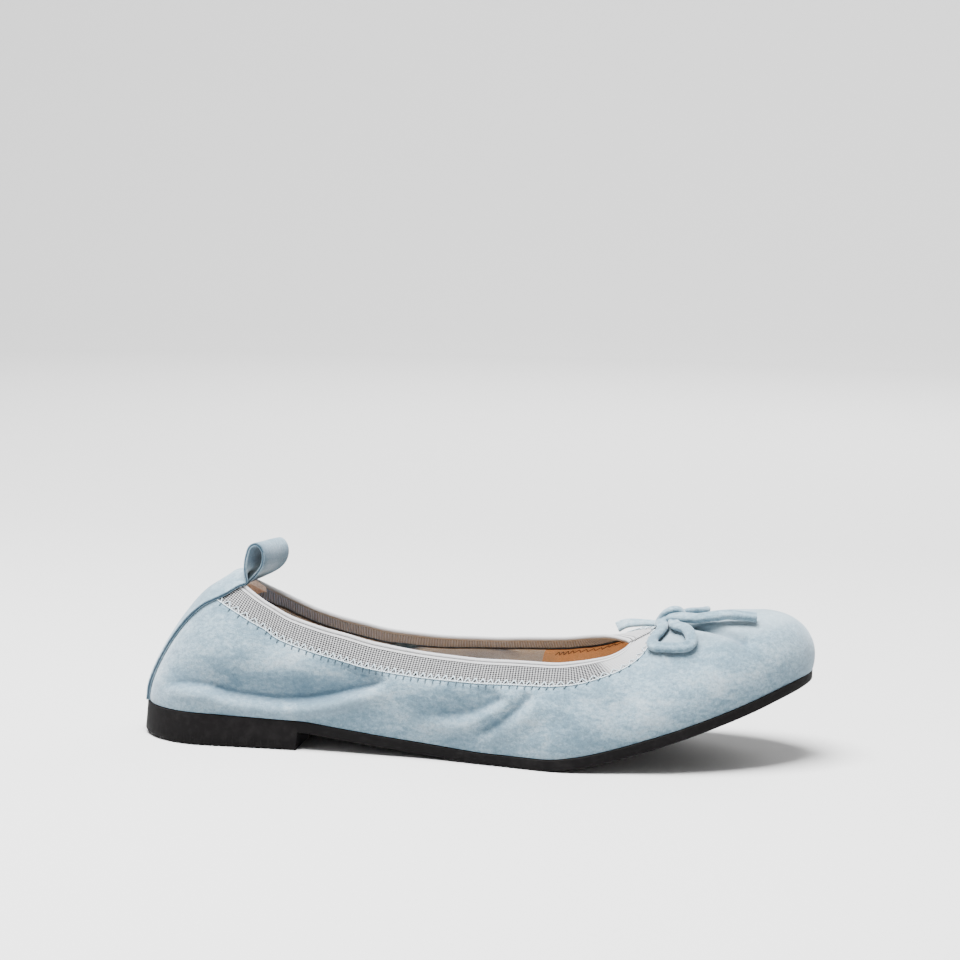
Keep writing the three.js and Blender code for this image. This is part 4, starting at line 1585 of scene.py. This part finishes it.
@dataclass
class HeelStrap(SubAssembly):
    """The suede strap up the back, its pull loop and the leather patch behind it.

    Attributes:
        top_width: its width at the top of the elastic.
        loop_height: how high the pull loop stands.
        loop_depth: how far it reaches ahead.
        loop_skew: how much its inner end lies ahead of its outer end.
        tuck: how far its end goes down inside the elastic.
        edge_groove: depth of the groove between its two layers.
        grip_stand: how far the leather patch stands above the elastic.
        grip_sides: its outer and inner edge, as the strap's half widths.
        grip_foot: how far under the outside its lower edge lies.
        widths: its width up the heel, as a share of the top width.
        fold: the loop, as shares of its height and depth, how straight it is and how wide.
    """

    thickness: float = 1.4
    top_width: float = 19
    loop_height: float = 13
    loop_depth: float = 8
    loop_skew: float = 2.8
    tuck: float = 5
    gap: float = 0.2
    edge_groove: float = 0.45
    grip_stand: float = 2.4
    grip_sides: tuple = (-1.05, 1.5)
    grip_foot: float = 2.3
    widths: Table = Table(
        ("rise", "wide"), ((0.0, 0.8), (0.5, 0.84), (0.8, 1.2), (1.0, 1.5), (2.0, 1.0))
    )
    fold: Table = Table(
        ("step", "ahead", "up", "straight", "wide"),
        (
            (0, 0.0, 0.0, 0.0, 1.0),
            (1, 0.36, 0.14, 0.6, 1.0),
            (2, 0.6, 0.36, 1.0, 1.0),
            (3, 0.67, 0.66, 1.0, 1.0),
            (4, 0.84, 0.92, 1.0, 1.0),
            (5, 1.14, 0.98, 1.0, 1.0),
            (6, 1.4, 0.8, 1.0, 0.98),
            (7, 1.42, 0.5, 1.0, 0.92),
            (8, 1.16, 0.24, 0.9, 0.8),
        ),
    )

    def on_shoe(self, across: Points, rise: float, off: Points) -> Points:
        """Returns places by their distance across the strap.

        Args:
            across: -1 at the outer edge to 1 at the inner edge.
            rise: how far up the strap.
            off: how far off the shoe's outside.

        Returns:
            A point for each place across.
        """
        step, small = 0.012, 0.04
        at = np.full(across.shape, rise)
        apart = self.last.skin(np.array([step, 0.0]), np.array([rise, rise]))
        per_turn = np.linalg.norm(apart[0] - apart[1]) / step
        wide = float(self.widths.read("wide", rise)) * self.top_width
        turn = across / 2 * wide / per_turn
        above = self.last.skin(turn, np.minimum(2, at + small))
        upwards = above - self.last.skin(turn, np.maximum(0, at - small))
        beside = small / 20
        sideways = self.last.skin(turn + beside, at) - self.last.skin(turn - beside, at)
        facing = unit(np.cross(upwards, sideways))
        return self.last.skin(turn, at) + facing * off[:, None]

    def centre_surface(self, across: Points) -> Points:
        """Returns the strap's middle surface, from the sole over the loop to its tuck."""
        lift = self.gap + self.thickness / 2
        inside = ElasticBand.recess + ElasticBand.thickness + self.gap + self.thickness / 2
        flat = np.full(across.shape, lift)
        climb = [0.0, 0.14, 0.26, 0.38, 0.5, 0.62, 0.74, 0.86, 1, 1.25, 1.5, 1.75, 2]
        rows = [self.on_shoe(across, rise, flat) for rise in climb]
        start = rows[-1]
        edge = self.on_shoe(np.array([0.7]), 2, np.array([lift]))[0]
        tube_line = np.stack(
            [edge[0] + self.loop_skew * across, start[:, 1], np.full(across.shape, edge[2])], 1
        )
        for _, ahead, up, straight, wide in self.fold.rows[1:]:
            p = mix(start, tube_line, straight)
            p = p + np.array([ahead * self.loop_depth, 0, up * self.loop_height])
            p[:, 1] *= wide
            rows.append(p)
        tucked = across * 0.75
        rows.append(self.on_shoe(tucked, 2, np.full(across.shape, -inside - self.last.fit_gap)))
        low = 2 - self.tuck / self.last.band_width
        rows.append(self.on_shoe(tucked, low, np.full(across.shape, -inside)))
        return np.array(rows)

    def build(self) -> Piece:
        """Models the strap as two layers of suede with a groove between their edges, with painted
        shade.
        """
        across = np.linspace(-1, 1, 25)
        rows = self.centre_surface(across)
        lines = [even_line(rows[:, k], 150) for k in range(len(across))]
        middle = np.stack(lines, axis=1)
        along = np.gradient(middle, axis=0)
        sideways = np.gradient(middle, axis=1)
        normal = unit(np.cross(sideways, along))
        edge_out = unit(sideways)
        half = self.thickness / 2
        count = len(across)
        # Each lip: how far out and how far up it lies, and its painted shade: on the edge's
        # shoulders and beside the groove, darkest in the groove, where the layers' dark join also
        # shows.
        lips = (
            (0.14, 0.95, 0.55),
            (0.24, 0.66, 0.0),
            (0.16, 0.36, 0.9),
            (-self.edge_groove, 0.0, 1.0),
            (0.16, -0.36, 0.9),
            (0.24, -0.66, 0.0),
            (0.14, -0.95, 0.75),
        )

        def brim(k: int, way: int, rows: tuple) -> list:
            """Returns the points of one edge's rows, each with its shade."""
            return [
                (middle[:, k] + edge_out[:, k] * way * out + normal[:, k] * half * up, shade)
                for out, up, shade in rows
            ]

        face = [(middle[:, k] + normal[:, k] * half, 0.0) for k in range(count)]
        back = [(middle[:, k] - normal[:, k] * half, 0.0) for k in reversed(range(count))]
        loop = [*face, *brim(-1, 1, lips), *back, *brim(0, -1, lips[::-1]), face[0]]
        columns, dark = zip(*loop)
        grid = np.stack(columns, axis=1)
        ends = grid[[0, -1]].mean(axis=1, keepdims=True).repeat(grid.shape[1], axis=1)
        grid = np.concatenate([ends[:1], grid, ends[1:]])
        piece = net("suede_heel_strap", self.last.placed(grid))
        top = self.last.band_top(1, np.array(0.0))[0][2]
        # Painted shade, stored as hollow: inside the loop, on the loop's outer face past its top,
        # which turns from the light, and a little over the rest of the outer face.
        risen = smooth((grid[:, :, 2] - top - 1.5) / 4)
        loop_inside_shade = np.zeros(grid.shape[1])
        loop_inside_shade[:count] = 0.85
        shade = np.maximum(np.array(dark)[None, :], risen * loop_inside_shade[None, :])
        outside = np.zeros(grid.shape[1])
        outside[count + len(lips) : -len(lips) - 1] = 1.0
        over = smooth((np.arange(len(grid)) - np.argmax(grid[:, :, 2].mean(axis=1))) / 7)
        shade = np.maximum(shade, (0.06 + 0.6 * over)[:, None] * outside[None, :])
        paint_net(piece, self.last.placed(grid), hollow=shade)
        edit(piece, merge_doubles, face_out)
        return self.dress(piece, self.finishes.suede, "suede", "heel_strap", angle=50)

    def grip(self) -> Piece:
        """Models the leather patch behind the strap's tucked end."""
        across = np.linspace(*self.grip_sides, 27)
        behind = ElasticBand.recess + ElasticBand.thickness
        depth = behind + self.gap + self.thickness + 0.55
        rows = []
        for rise in np.concatenate([np.linspace(0.45, 1, 12), np.linspace(1.1, 2, 10)]):
            near = mix(self.grip_foot, depth, smooth((rise - 0.75) / 0.5))
            rows.append(self.on_shoe(across, float(rise), np.full(across.shape, -near)))
        stand = self.grip_stand * smooth((across - 0.2) / 0.5)
        stand = stand * (1 - 0.45 * smooth((across - 1.2) / 0.5))
        rows.append(rows[-1] + stand[:, None] * np.array([-0.2, 0, 1.0]))
        piece = net("heel_grip", self.last.placed(np.array(rows)))
        edit(piece, merge_doubles)
        apply_modifier(piece, "SOLIDIFY", thickness=0.0006, offset=0.0)
        return self.dress(piece, self.finishes.patch, "footbed_leather")


@dataclass
class Bow(SubAssembly):
    """The suede bow: knot, two loops and two square-cut tails.

    Its tables hold points of the cord: ahead of the knot, to the inner side, and lift.
    """

    cord_width: float = 4.2
    cord_thickness: float = 3.0
    loop_thickness: float = 2.6
    tail_thickness: float = 1.9
    knot_width: float = 9
    knot_height: float = 3.8
    knot_side: float = -1.8
    core_side: float = -1.4
    core_reach: float = 3.4
    core_size: tuple = (6.8, 4.2)
    core_lift: float = 2.3
    far_shade: float = 0.22
    ahead: float = 5
    near_loop: tuple = (
        (-1.0, -1.0, 1.2), (-1.9, -5.5, 1.0), (-1.5, -10.3, 0.6), (-3.4, -13.6, 0.4),
        (-4.6, -17.0, 0.3), (-3.6, -19.7, 0.3), (2.0, -21.0, 0.3), (7.4, -21.0, 0.3),
        (9.1, -18.6, 0.3), (7.4, -13.9, 0.4), (3.0, -10.3, 0.6), (2.4, -5.5, 1.0),
        (1.0, -1.0, 1.2),
    )
    far_loop: tuple = (
        (0.5, 0.5, 0.9), (4.2, 2.6, 0.5), (8.2, 4.4, 0.4), (11.0, 7.2, -0.9),
        (11.8, 11.5, -0.5), (10.2, 16.5, 0.1), (5.0, 18.5, 0.1), (0.8, 15.5, 0.1),
        (-1.0, 10.5, 0.2), (-1.3, 5.0, 0.6), (-0.8, 1.0, 0.8),
    )
    front_tail: tuple = (
        (0.8, -4.8, 1.2), (5.5, -7.0, 1.6), (11, -8.2, 1.6), (17, -8.4, 1.7),
        (24, -7.6, 1.2), (31, -6.6, 0.6),
    )
    back_tail: tuple = (
        (0, 0.2, 1.1), (-5, 0.8, -0.3), (-8, 1.1, -0.4), (-12, 1.1, -0.5),
        (-16.5, 1.0, -1.0), (-19.3, 0.8, -2.4),
    )

    def ground(self, x: float, y: float) -> tuple[Points, Points]:
        """Returns the height and facing of the shoe under a place, averaged over a patch."""
        reach = 2.5
        heights, facing = [], np.zeros(3)
        for dx, dy in ((0, 0), (1, 0), (-1, 0), (0, 1), (0, -1)):
            start = self.last.placed(np.array([x + dx * reach, y + dy * reach, 120.0]))
            hit, normal, _, _ = self.tree.ray_cast(Vector(start), Vector((0, 0, -1)))
            if hit is not None:
                heights.append(hit.z * 1000)
                facing += np.array(normal) * (1 if normal.z > 0 else -1)
        return np.mean(heights), unit(facing)

    def sweep(self, name: str, path: Points, ups: Points, thickness: float) -> Piece:
        """Sweeps the cord's section, which has a crease along its top, along a path."""
        for _ in range(6):
            path[1:-1] = (path[:-2] + 2 * path[1:-1] + path[2:]) / 4
        section = ellipse(self.cord_width, thickness, 28, 0.75)
        crease = np.exp(-((section[:, 0] * 1000 / 0.55) ** 2)) * (section[:, 1] > 0)
        section[:, 1] -= crease * 0.0003
        return tube(name, self.last.placed(path), ups, section, end_inset=0.0002)

    def laid(self, name: str, rows: Points, thickness: float) -> Piece:
        """Lays a cord over the vamp.

        Args:
            name: the piece's name.
            rows: ahead and side from the knot, and lift above the shoe.
            thickness: the cord's thickness.

        Returns:
            The cord.
        """
        path, ups = [], []
        for ahead, side, lift in even_line(np.array(rows, float), 72):
            x, y = self.knot[0] + ahead, self.knot[1] + side
            height, facing = self.ground(x, y)
            path.append(np.array([x, y, height]) + facing * (0.35 + thickness / 2 + lift))
            ups.append(facing)
        return self.sweep(name, np.array(path), np.array(ups), thickness)

    def hanging(self) -> Piece:
        """Models the back tail, which hangs out over the opening."""
        line = even_line(np.array(self.back_tail, float), 60)
        level, _ = self.ground(self.knot[0], self.knot[1])
        path = line + self.knot + np.array([0, 0, level])
        twist = np.linspace(0, 1, len(path))[:, None]
        ups = unit(mix(np.array([0, -0.05, 1.0]), np.array([-0.2, -0.8, 0.6]), twist**2))
        return self.sweep("bow_tail_back", path, ups, self.tail_thickness)

    def build(self, *ground: Piece) -> Piece:
        """Models the bow over the pieces that it lies on, as one piece."""
        points, faces = [], []
        for piece in ground:
            base = len(points)
            points += [v.co[:] for v in piece.data.vertices]
            faces += [[base + k for k in p.vertices] for p in piece.data.polygons]
        self.tree = BVHTree.FromPolygons(points, faces)
        crest = self.last.crest_start
        self.knot = np.array([crest[0] + self.ahead, crest[1], 0.0])
        far = self.laid("bow_loop_inner", self.far_loop, self.loop_thickness - 0.4)
        paint(far, "hollow", np.full(len(far.data.vertices), self.far_shade))
        parts = [
            far,
            self.laid("bow", self.near_loop, self.loop_thickness),
            self.laid("bow_tail_front", self.front_tail, self.cord_thickness),
            self.hanging(),
        ]
        arch = []
        for turn in np.linspace(0, math.pi, 30):
            x = self.knot[0] - math.cos(turn) * self.knot_width / 2
            y = self.knot[1] + self.knot_side
            height, _ = self.ground(x, y)
            foot = height + 0.3 + self.cord_thickness * 0.4
            arch.append([x, y, foot + math.sin(turn) * self.knot_height])
        arch = np.array(arch)
        centre = arch.mean(axis=0) - np.array([0, 0, 3.0])
        section = ellipse(self.cord_width * 1.15, self.cord_thickness * 0.8, 28, 0.75)
        wrap = self.last.placed(arch)
        parts.append(tube("bow_wrap", wrap, arch - centre, section, end_inset=0.0002))
        core = []
        for ahead in np.linspace(-self.core_reach, self.core_reach, 16):
            x, y = self.knot[0] + ahead, self.knot[1] + self.core_side
            height, facing = self.ground(x, y)
            core.append(np.array([x, y, height]) + facing * self.core_lift)
        core = np.array(core)
        section = ellipse(*self.core_size, 28, 0.9)
        swell = 1 - 0.35 * np.linspace(-1, 1, 16) ** 4
        up = np.repeat(np.array([[0.0, 0, 1]]), 16, axis=0)
        parts.append(tube("bow_core", self.last.placed(core), up, section, swell, 0.0006))
        piece = joined("suede_bow", parts)
        return self.dress(piece, self.finishes.suede, "suede", "bow", angle=50)


@dataclass
class Sole(SubAssembly):
    """The moulded sole with its heel and tread, and the footbed over it.

    Attributes:
        heel_length: where the heel block ends.
        heel_flare: how far the block stands out of the sole's outline.
        heel_back_bevel: how far its underside rises at the back.
        breast_slope: how far its front face slopes.
        edge_bevel: bevel of the sole's lower edge.
        tread_pitch: distance between the tread's grooves.
        tread_from: where the forefoot's tread begins.
        tread_to: where it ends.
        footbed_margin: how far inside the sole's outline the footbed ends.
        footbed_roll: radius of its rolled edge.
    """

    heel_length: float = 62
    heel_flare: float = 0.7
    heel_back_bevel: float = 1.2
    breast_slope: float = 1.2
    edge_bevel: float = 0.5
    tread_pitch: float = 2.6
    tread_depth: float = 0.4
    tread_from: float = 112
    tread_to: float = 236
    footbed_margin: float = 3.0
    footbed_thickness: float = 2.5
    footbed_roll: float = 0.9

    def outline(self, x: Points, side: int, inset: float | Points) -> Points:
        """Returns the outline's points moved inwards."""
        edge = self.last.feather[side]
        away = self.last.outward(edge.heading(edge.share_of(x)), side)
        y = self.last.sole_edge(x, side)
        return np.stack([x, y, np.zeros_like(x)], axis=-1) - away * np.asarray(inset)[..., None]

    def sides(self, x: Points, profile: list[tuple]) -> list[list[Points]]:
        """Returns the lines of points that run along the outer and the inner side.

        Args:
            x: places along the sole.
            profile: how far in and how high each line lies.

        Returns:
            The outer side's lines, then the inner side's.
        """
        rows = []
        for side in Side:
            lines = []
            for inset, height in profile:
                line = self.outline(x, side.value, inset)
                line[:, 2] = height
                lines.append(line)
            rows.append(lines)
        return rows

    def closed(self, name: str, outer: list, across: list, inner: list) -> Piece:
        """Returns a solid through the lines of both sides and those across between them."""
        back = [mix(inner[0], outer[0], t) for t in np.linspace(0.1, 0.9, 5)]
        loop = [*outer, *across, *inner[::-1], *back, outer[0]]
        piece = net(name, self.last.placed(np.stack(loop, axis=1)))
        edit(piece, merge_doubles, face_out)
        return piece

    def underside(self, x: Points) -> Points:
        """Returns the height of the underside, heel block included."""
        bevel = self.heel_back_bevel * (1 - smooth(3 * x / self.heel_length))
        heel = x < self.heel_length - self.breast_slope / 2
        return np.where(heel, bevel, self.last.sole_bottom(x))

    def tread(self, x: Points) -> Points:
        """Returns how far the tread's grooves cut into the underside."""
        wave = 0.5 - 0.5 * np.cos(2 * math.pi * x / self.tread_pitch)
        cut = smooth((wave - 0.62) / 0.3) * self.tread_depth
        heel = smooth((x - 4) / 3) * smooth((self.heel_length - 3 - x) / 1)
        front = smooth((x - self.tread_from) / 5) * smooth((self.tread_to - x) / 4)
        return cut * np.where(x < self.heel_length, heel, front)

    def build(self) -> Piece:
        """Models the sole as rings of its section from heel to toe."""
        length = self.last.sole_length
        ends = length * (1 - np.cos(np.linspace(0, math.pi, 150))) / 2
        even = np.arange(3, length - 4, self.tread_pitch / 6)
        breast = np.array([self.heel_length - self.breast_slope, self.heel_length])
        x = np.unique(np.round(np.concatenate([ends, even]), 4))
        x = x[np.min(np.abs(x[:, None] - breast), axis=1) > 0.35]
        x = np.sort(np.concatenate([x, breast]))
        flare = np.where(x < self.heel_length - self.breast_slope / 2, self.heel_flare, 0)
        top = self.last.sole_top(x)
        low = self.underside(x)
        cut = self.tread(x)
        seen = cut * mix(0.7, 0.12, smooth((x - 140) / 25))
        bevel = self.edge_bevel
        wall = [
            (0.12, top),
            (0.0, top - 0.12),
            (-flare * 0.5, mix(top, low, 0.5)),
            (-flare, low + bevel + seen * 0.3),
            (bevel * 0.4 - flare, low + bevel * 0.3 + seen * 0.8),
            (bevel - flare, low + seen),
        ]
        outer, inner = self.sides(x, wall)
        across = [mix(outer[-1], inner[-1], t) for t in np.linspace(0.05, 0.95, 14)]
        for line in across:
            line[:, 2] = low + cut
        piece = self.closed("moulded_sole", outer, across, inner)
        return self.dress(piece, self.finishes.rubber, "sole_rubber", "outsole", angle=40)

    def footbed(self) -> Piece:
        """Models the cushioned footbed with a rolled edge."""
        last = self.last
        length = last.sole_length
        x = length * (1 - np.cos(np.linspace(0, math.pi, 170))) / 2
        base = last.sole_top(x) + last.fit_gap
        thick = self.footbed_thickness
        rolls = ((1.0, 0.0), (0.0, 0.25), (0.0, 0.62), (0.28, 0.9), (1.0, 1.0))
        edge = [
            (self.footbed_margin + inset * self.footbed_roll, base + thick * height)
            for inset, height in rolls
        ]
        outer, inner = self.sides(x, edge)
        span = np.linspace(0.06, 0.94, 18)
        dish = 0.5 * np.sin(np.pi * span) * 0.6
        across = []
        for t, dip in zip(span, dish):
            p = mix(outer[-1], inner[-1], t)
            p[:, 2] -= dip * smooth(1 - np.abs(x - 45) / 60)
            across.append(p)
        piece = self.closed("leather_footbed", outer, across, inner)
        return self.dress(piece, self.finishes.insole, "footbed_leather", "footbed", angle=50)


def rotation(axis: int, angle: float) -> Points:
    """Returns the matrix of a turn in radians about X, Y or Z, numbered 0, 1 or 2."""
    one, two = (axis + 1) % 3, (axis + 2) % 3
    turned = np.eye(3)
    turned[one, one] = turned[two, two] = math.cos(angle)
    turned[one, two], turned[two, one] = -math.sin(angle), math.sin(angle)
    return turned


@dataclass(frozen=True)
class SoftLight:
    """A square soft light.

    Attributes:
        name: the light's name.
        at: where it stands, in metres.
        size: the length of its side.
        power: its power in watts.
        aim: the place that it points at.
    """

    name: str
    at: tuple[float, float, float]
    size: float
    power: float
    aim: tuple[float, float, float] = (0.0, 0.0, 0.0)

    def build(self) -> None:
        """Adds the light."""
        data = bpy.data.lights.new(self.name, "AREA")
        data.size, data.energy = self.size, self.power
        lamp = bpy.data.objects.new(self.name, data)
        bpy.context.scene.collection.objects.link(lamp)
        lamp.location = self.at
        lamp.rotation_mode = "QUATERNION"
        towards = Vector(self.at) - Vector(self.aim)
        lamp.rotation_quaternion = towards.to_track_quat("Z", "Y")


@dataclass(frozen=True)
class Studio:
    """A plain pale floor, soft light, and the camera of the photograph.

    Attributes:
        distance: from the camera to the place that it aims at, in millimetres.
        azimuth: how far the camera stands round from the outer side, in degrees.
        elevation: how far it looks down.
        roll: how far it is turned about its own view.
        focal: its focal length, in pixels of the picture.
        frame_size: the picture's width and height in pixels.
        aim: the shoe's place that the camera looks at.
        aim_at: the pixel where that place is seen.
        sensor: the sensor's width in millimetres.
        floor_radius: radius of the flat floor, in metres.
        sweep: radius of its sweep into the wall.
        wall: radius and height of the wall's top.
        sky: strength of the even white light.
        lights: the soft lights.
    """

    distance: float = 1100
    azimuth: float = 8
    elevation: float = 11
    roll: float = 1.3
    focal: float = 2990
    frame_size: float = 960
    aim: tuple = (122.0, 0.0, 25.0)
    aim_at: tuple = (474.5, 677.0)
    sensor: float = 36
    floor_radius: float = 1.7
    sweep: float = 0.9
    wall: tuple = (2.6, 2.6)
    sky: float = 0.4
    lights: tuple[SoftLight, ...] = (
        SoftLight("top_light", (-0.2, -0.22, 1.35), 0.8, 130),
        SoftLight("front_light", (-0.9, -1.3, 0.8), 0.9, 4),
        SoftLight("back_light", (0.6, 1.1, 0.9), 0.9, 12),
        SoftLight("backdrop_light", (0.0, 1.0, 1.2), 1.0, 50, (0.0, 2.5, 0.6)),
    )

    def camera(self, last: Last) -> None:
        """Sets up the camera, turned rather than shifted to frame the shoe."""
        a, e = math.radians(self.azimuth), math.radians(self.elevation)
        back = np.array([math.sin(a) * math.cos(e), -math.cos(a) * math.cos(e), math.sin(e)])
        eye = np.array(self.aim) + back * self.distance
        right = unit(np.cross(-back, [0, 0, 1]))
        up = np.cross(right, -back)
        turned = np.array([right, up, back])
        half = self.frame_size / 2
        pan = math.atan((self.aim_at[0] - half) / self.focal)
        tilt = math.atan(-(self.aim_at[1] - half) / self.focal)
        spin = rotation(2, -math.radians(self.roll))
        axes = rotation(0, tilt) @ rotation(1, -pan) @ spin @ turned
        data = bpy.data.cameras.new("photo_camera")
        data.sensor_width = self.sensor
        data.lens = self.focal * self.sensor / self.frame_size
        data.clip_start, data.clip_end = 0.05, 20
        view = bpy.data.objects.new("photo_camera", data)
        bpy.context.scene.collection.objects.link(view)
        matrix = Matrix(axes.T.tolist()).to_4x4()
        matrix.translation = Vector(last.placed(eye))
        view.matrix_world = matrix
        bpy.context.scene.camera = view

    def cove(self) -> None:
        """Adds the floor, which sweeps up into a pale wall all round."""
        deselect()
        flat, sweep = self.floor_radius, self.sweep
        bpy.ops.mesh.primitive_circle_add(vertices=96, radius=flat, fill_type="NGON")
        ground = bpy.context.object
        ground.name = "studio_cove"
        steps = [math.pi / 2 * k / 10 for k in range(1, 11)]
        rings = [(flat + sweep * math.sin(t), sweep * (1 - math.cos(t))) for t in steps]
        rings.append(self.wall)
        bpy.ops.object.mode_set(mode="EDIT")
        bpy.ops.mesh.select_all(action="SELECT")
        bpy.ops.mesh.inset(thickness=0.01)
        bpy.ops.mesh.select_mode(type="VERT")
        bpy.ops.object.mode_set(mode="OBJECT")
        radius, height = flat, 0.0
        for vertex in ground.data.vertices:
            vertex.select = vertex.co.length > radius - 0.001
        for edge in ground.data.edges:
            edge.select = all(ground.data.vertices[k].select for k in edge.vertices)
        for face in ground.data.polygons:
            face.select = False
        bpy.ops.object.mode_set(mode="EDIT")
        for wider, higher in rings:
            bpy.ops.mesh.extrude_region_move(
                TRANSFORM_OT_translate={"value": (0, 0, higher - height)}
            )
            grow = wider / radius
            bpy.ops.transform.resize(value=(grow, grow, 1), center_override=(0, 0, 0))
            radius, height = wider, higher
        bpy.ops.object.mode_set(mode="OBJECT")
        soften(ground, 60)
        board = Board("pale_studio_cove")
        tone = board.noise(board.own_place(), 0.6, 1)
        colour = board.steps(tone, (0.3, (0.5, 0.5, 0.5)), (0.7, (0.52, 0.52, 0.52)))
        ground.data.materials.append(board.finish(colour, None, Roughness=0.9))

    def build(self, last: Last) -> None:
        """Sets the stage."""
        world = bpy.data.worlds.new("studio")
        world.use_nodes = True
        background = world.node_tree.nodes["Background"]
        background.inputs["Color"].default_value = (1, 1, 1, 1)
        background.inputs["Strength"].default_value = self.sky
        bpy.context.scene.world = world
        self.cove()
        for light in self.lights:
            light.build()
        self.camera(last)


QUARTER_FOLD = (
    (0.063, 0.18), (0.098, 0.27), (0.135, 0.29), (0.165, 0.26), (0.2, 0.25),
    (0.232, 0.25), (0.263, 0.29), (0.292, 0.38), (0.327, 0.56), (0.36, 0.74),
    (0.383, 0.89),
)
WAIST_FOLD = (
    (0.42, 0.42), (0.445, 0.4), (0.475, 0.45), (0.502, 0.54), (0.522, 0.66),
    (0.538, 0.83),
)
JOINT_FOLD = ((0.498, 0.22), (0.518, 0.32), (0.545, 0.5), (0.566, 0.69), (0.578, 0.93))
TAIL_FOLD = (
    (0.795, 0.86), (0.804, 0.81), (0.82, 0.73), (0.838, 0.64), (0.852, 0.56),
    (0.866, 0.45),
)


def on_side(side: Side, line: tuple, slide: float = 0.0, lift: float = 0.0) -> tuple:
    """Returns a fold's line on one side of the shoe, slid and lifted a little."""
    return tuple((side.value * (turn + slide), rise + lift) for turn, rise in line)


# Each fold: its line, then depth, above, below, lip, lip_width and crease, in millimetres.
SUEDE_FOLDS = (
    Fold(on_side(Side.OUTER, QUARTER_FOLD), 3.2, 8.5, 1.7, 1.5, 3.0, 0.8),
    Fold(on_side(Side.OUTER, WAIST_FOLD), 2.1, 6.5, 2.2, 1.0, 3.0, 0.35),
    Fold(on_side(Side.OUTER, JOINT_FOLD), 1.8, 2.2, 2.2, 0.5, 3.0, 0.4),
    Fold(on_side(Side.OUTER, TAIL_FOLD), 1.6, 1.6, 2.4, 0.4, 2.5, 0.6),
    Fold(((-0.62, 0.78), (-0.667, 0.54), (-0.719, 0.29)), 0.7, 5, 5),
    Fold(((-0.567, 0.29), (-0.604, 0.43), (-0.634, 0.53)), 0.5, 4, 4),
    Fold(((-0.808, 0.7), (-0.806, 0.55), (-0.798, 0.36)), 1.3, 3.2, 3.2),
    Fold(on_side(Side.INNER, QUARTER_FOLD, 0.02, 0.05), 2.3, 8, 2.2, 1.1, 3.0, 0.5),
    Fold(on_side(Side.INNER, WAIST_FOLD, -0.015, -0.03), 1.4, 6, 3.0, 0.6, 3.0),
    Fold(on_side(Side.INNER, JOINT_FOLD, 0.02), 1.1, 3.0, 2.6, 0.3, 3.0),
    Fold(on_side(Side.INNER, TAIL_FOLD, -0.02, -0.05), 0.8, 2.2, 2.5, 0.3, 2.5),
    Fold(((0.63, 0.75), (0.67, 0.5), (0.71, 0.3)), 0.7, 5, 5),
)
SUEDE_SWELLS = (
    Swell((-0.985, 0.3), 1.3, 15),
    Swell((-0.765, 0.66), 0.8, 7),
)


def main() -> None:
    """Builds the shoe's sub-assemblies in order and sets the stage."""
    logging.basicConfig(level=logging.INFO, format="%(message)s")
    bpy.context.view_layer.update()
    last = Last()
    studio = Studio()
    studio.build(last)
    shared = (last, FoldedSuede(last, SUEDE_FOLDS, SUEDE_SWELLS), Finishes())
    sole = Sole(*shared)
    sole.build()
    sole.footbed()
    upper = Upper(*shared)
    suede = upper.build()
    upper.line()
    band = ElasticBand(*shared).build()
    ZigzagSeam(*shared).build()
    strap = HeelStrap(*shared)
    strap.build()
    strap.grip()
    Bow(*shared).build(suede, band)


if __name__ == "__main__":
    main()
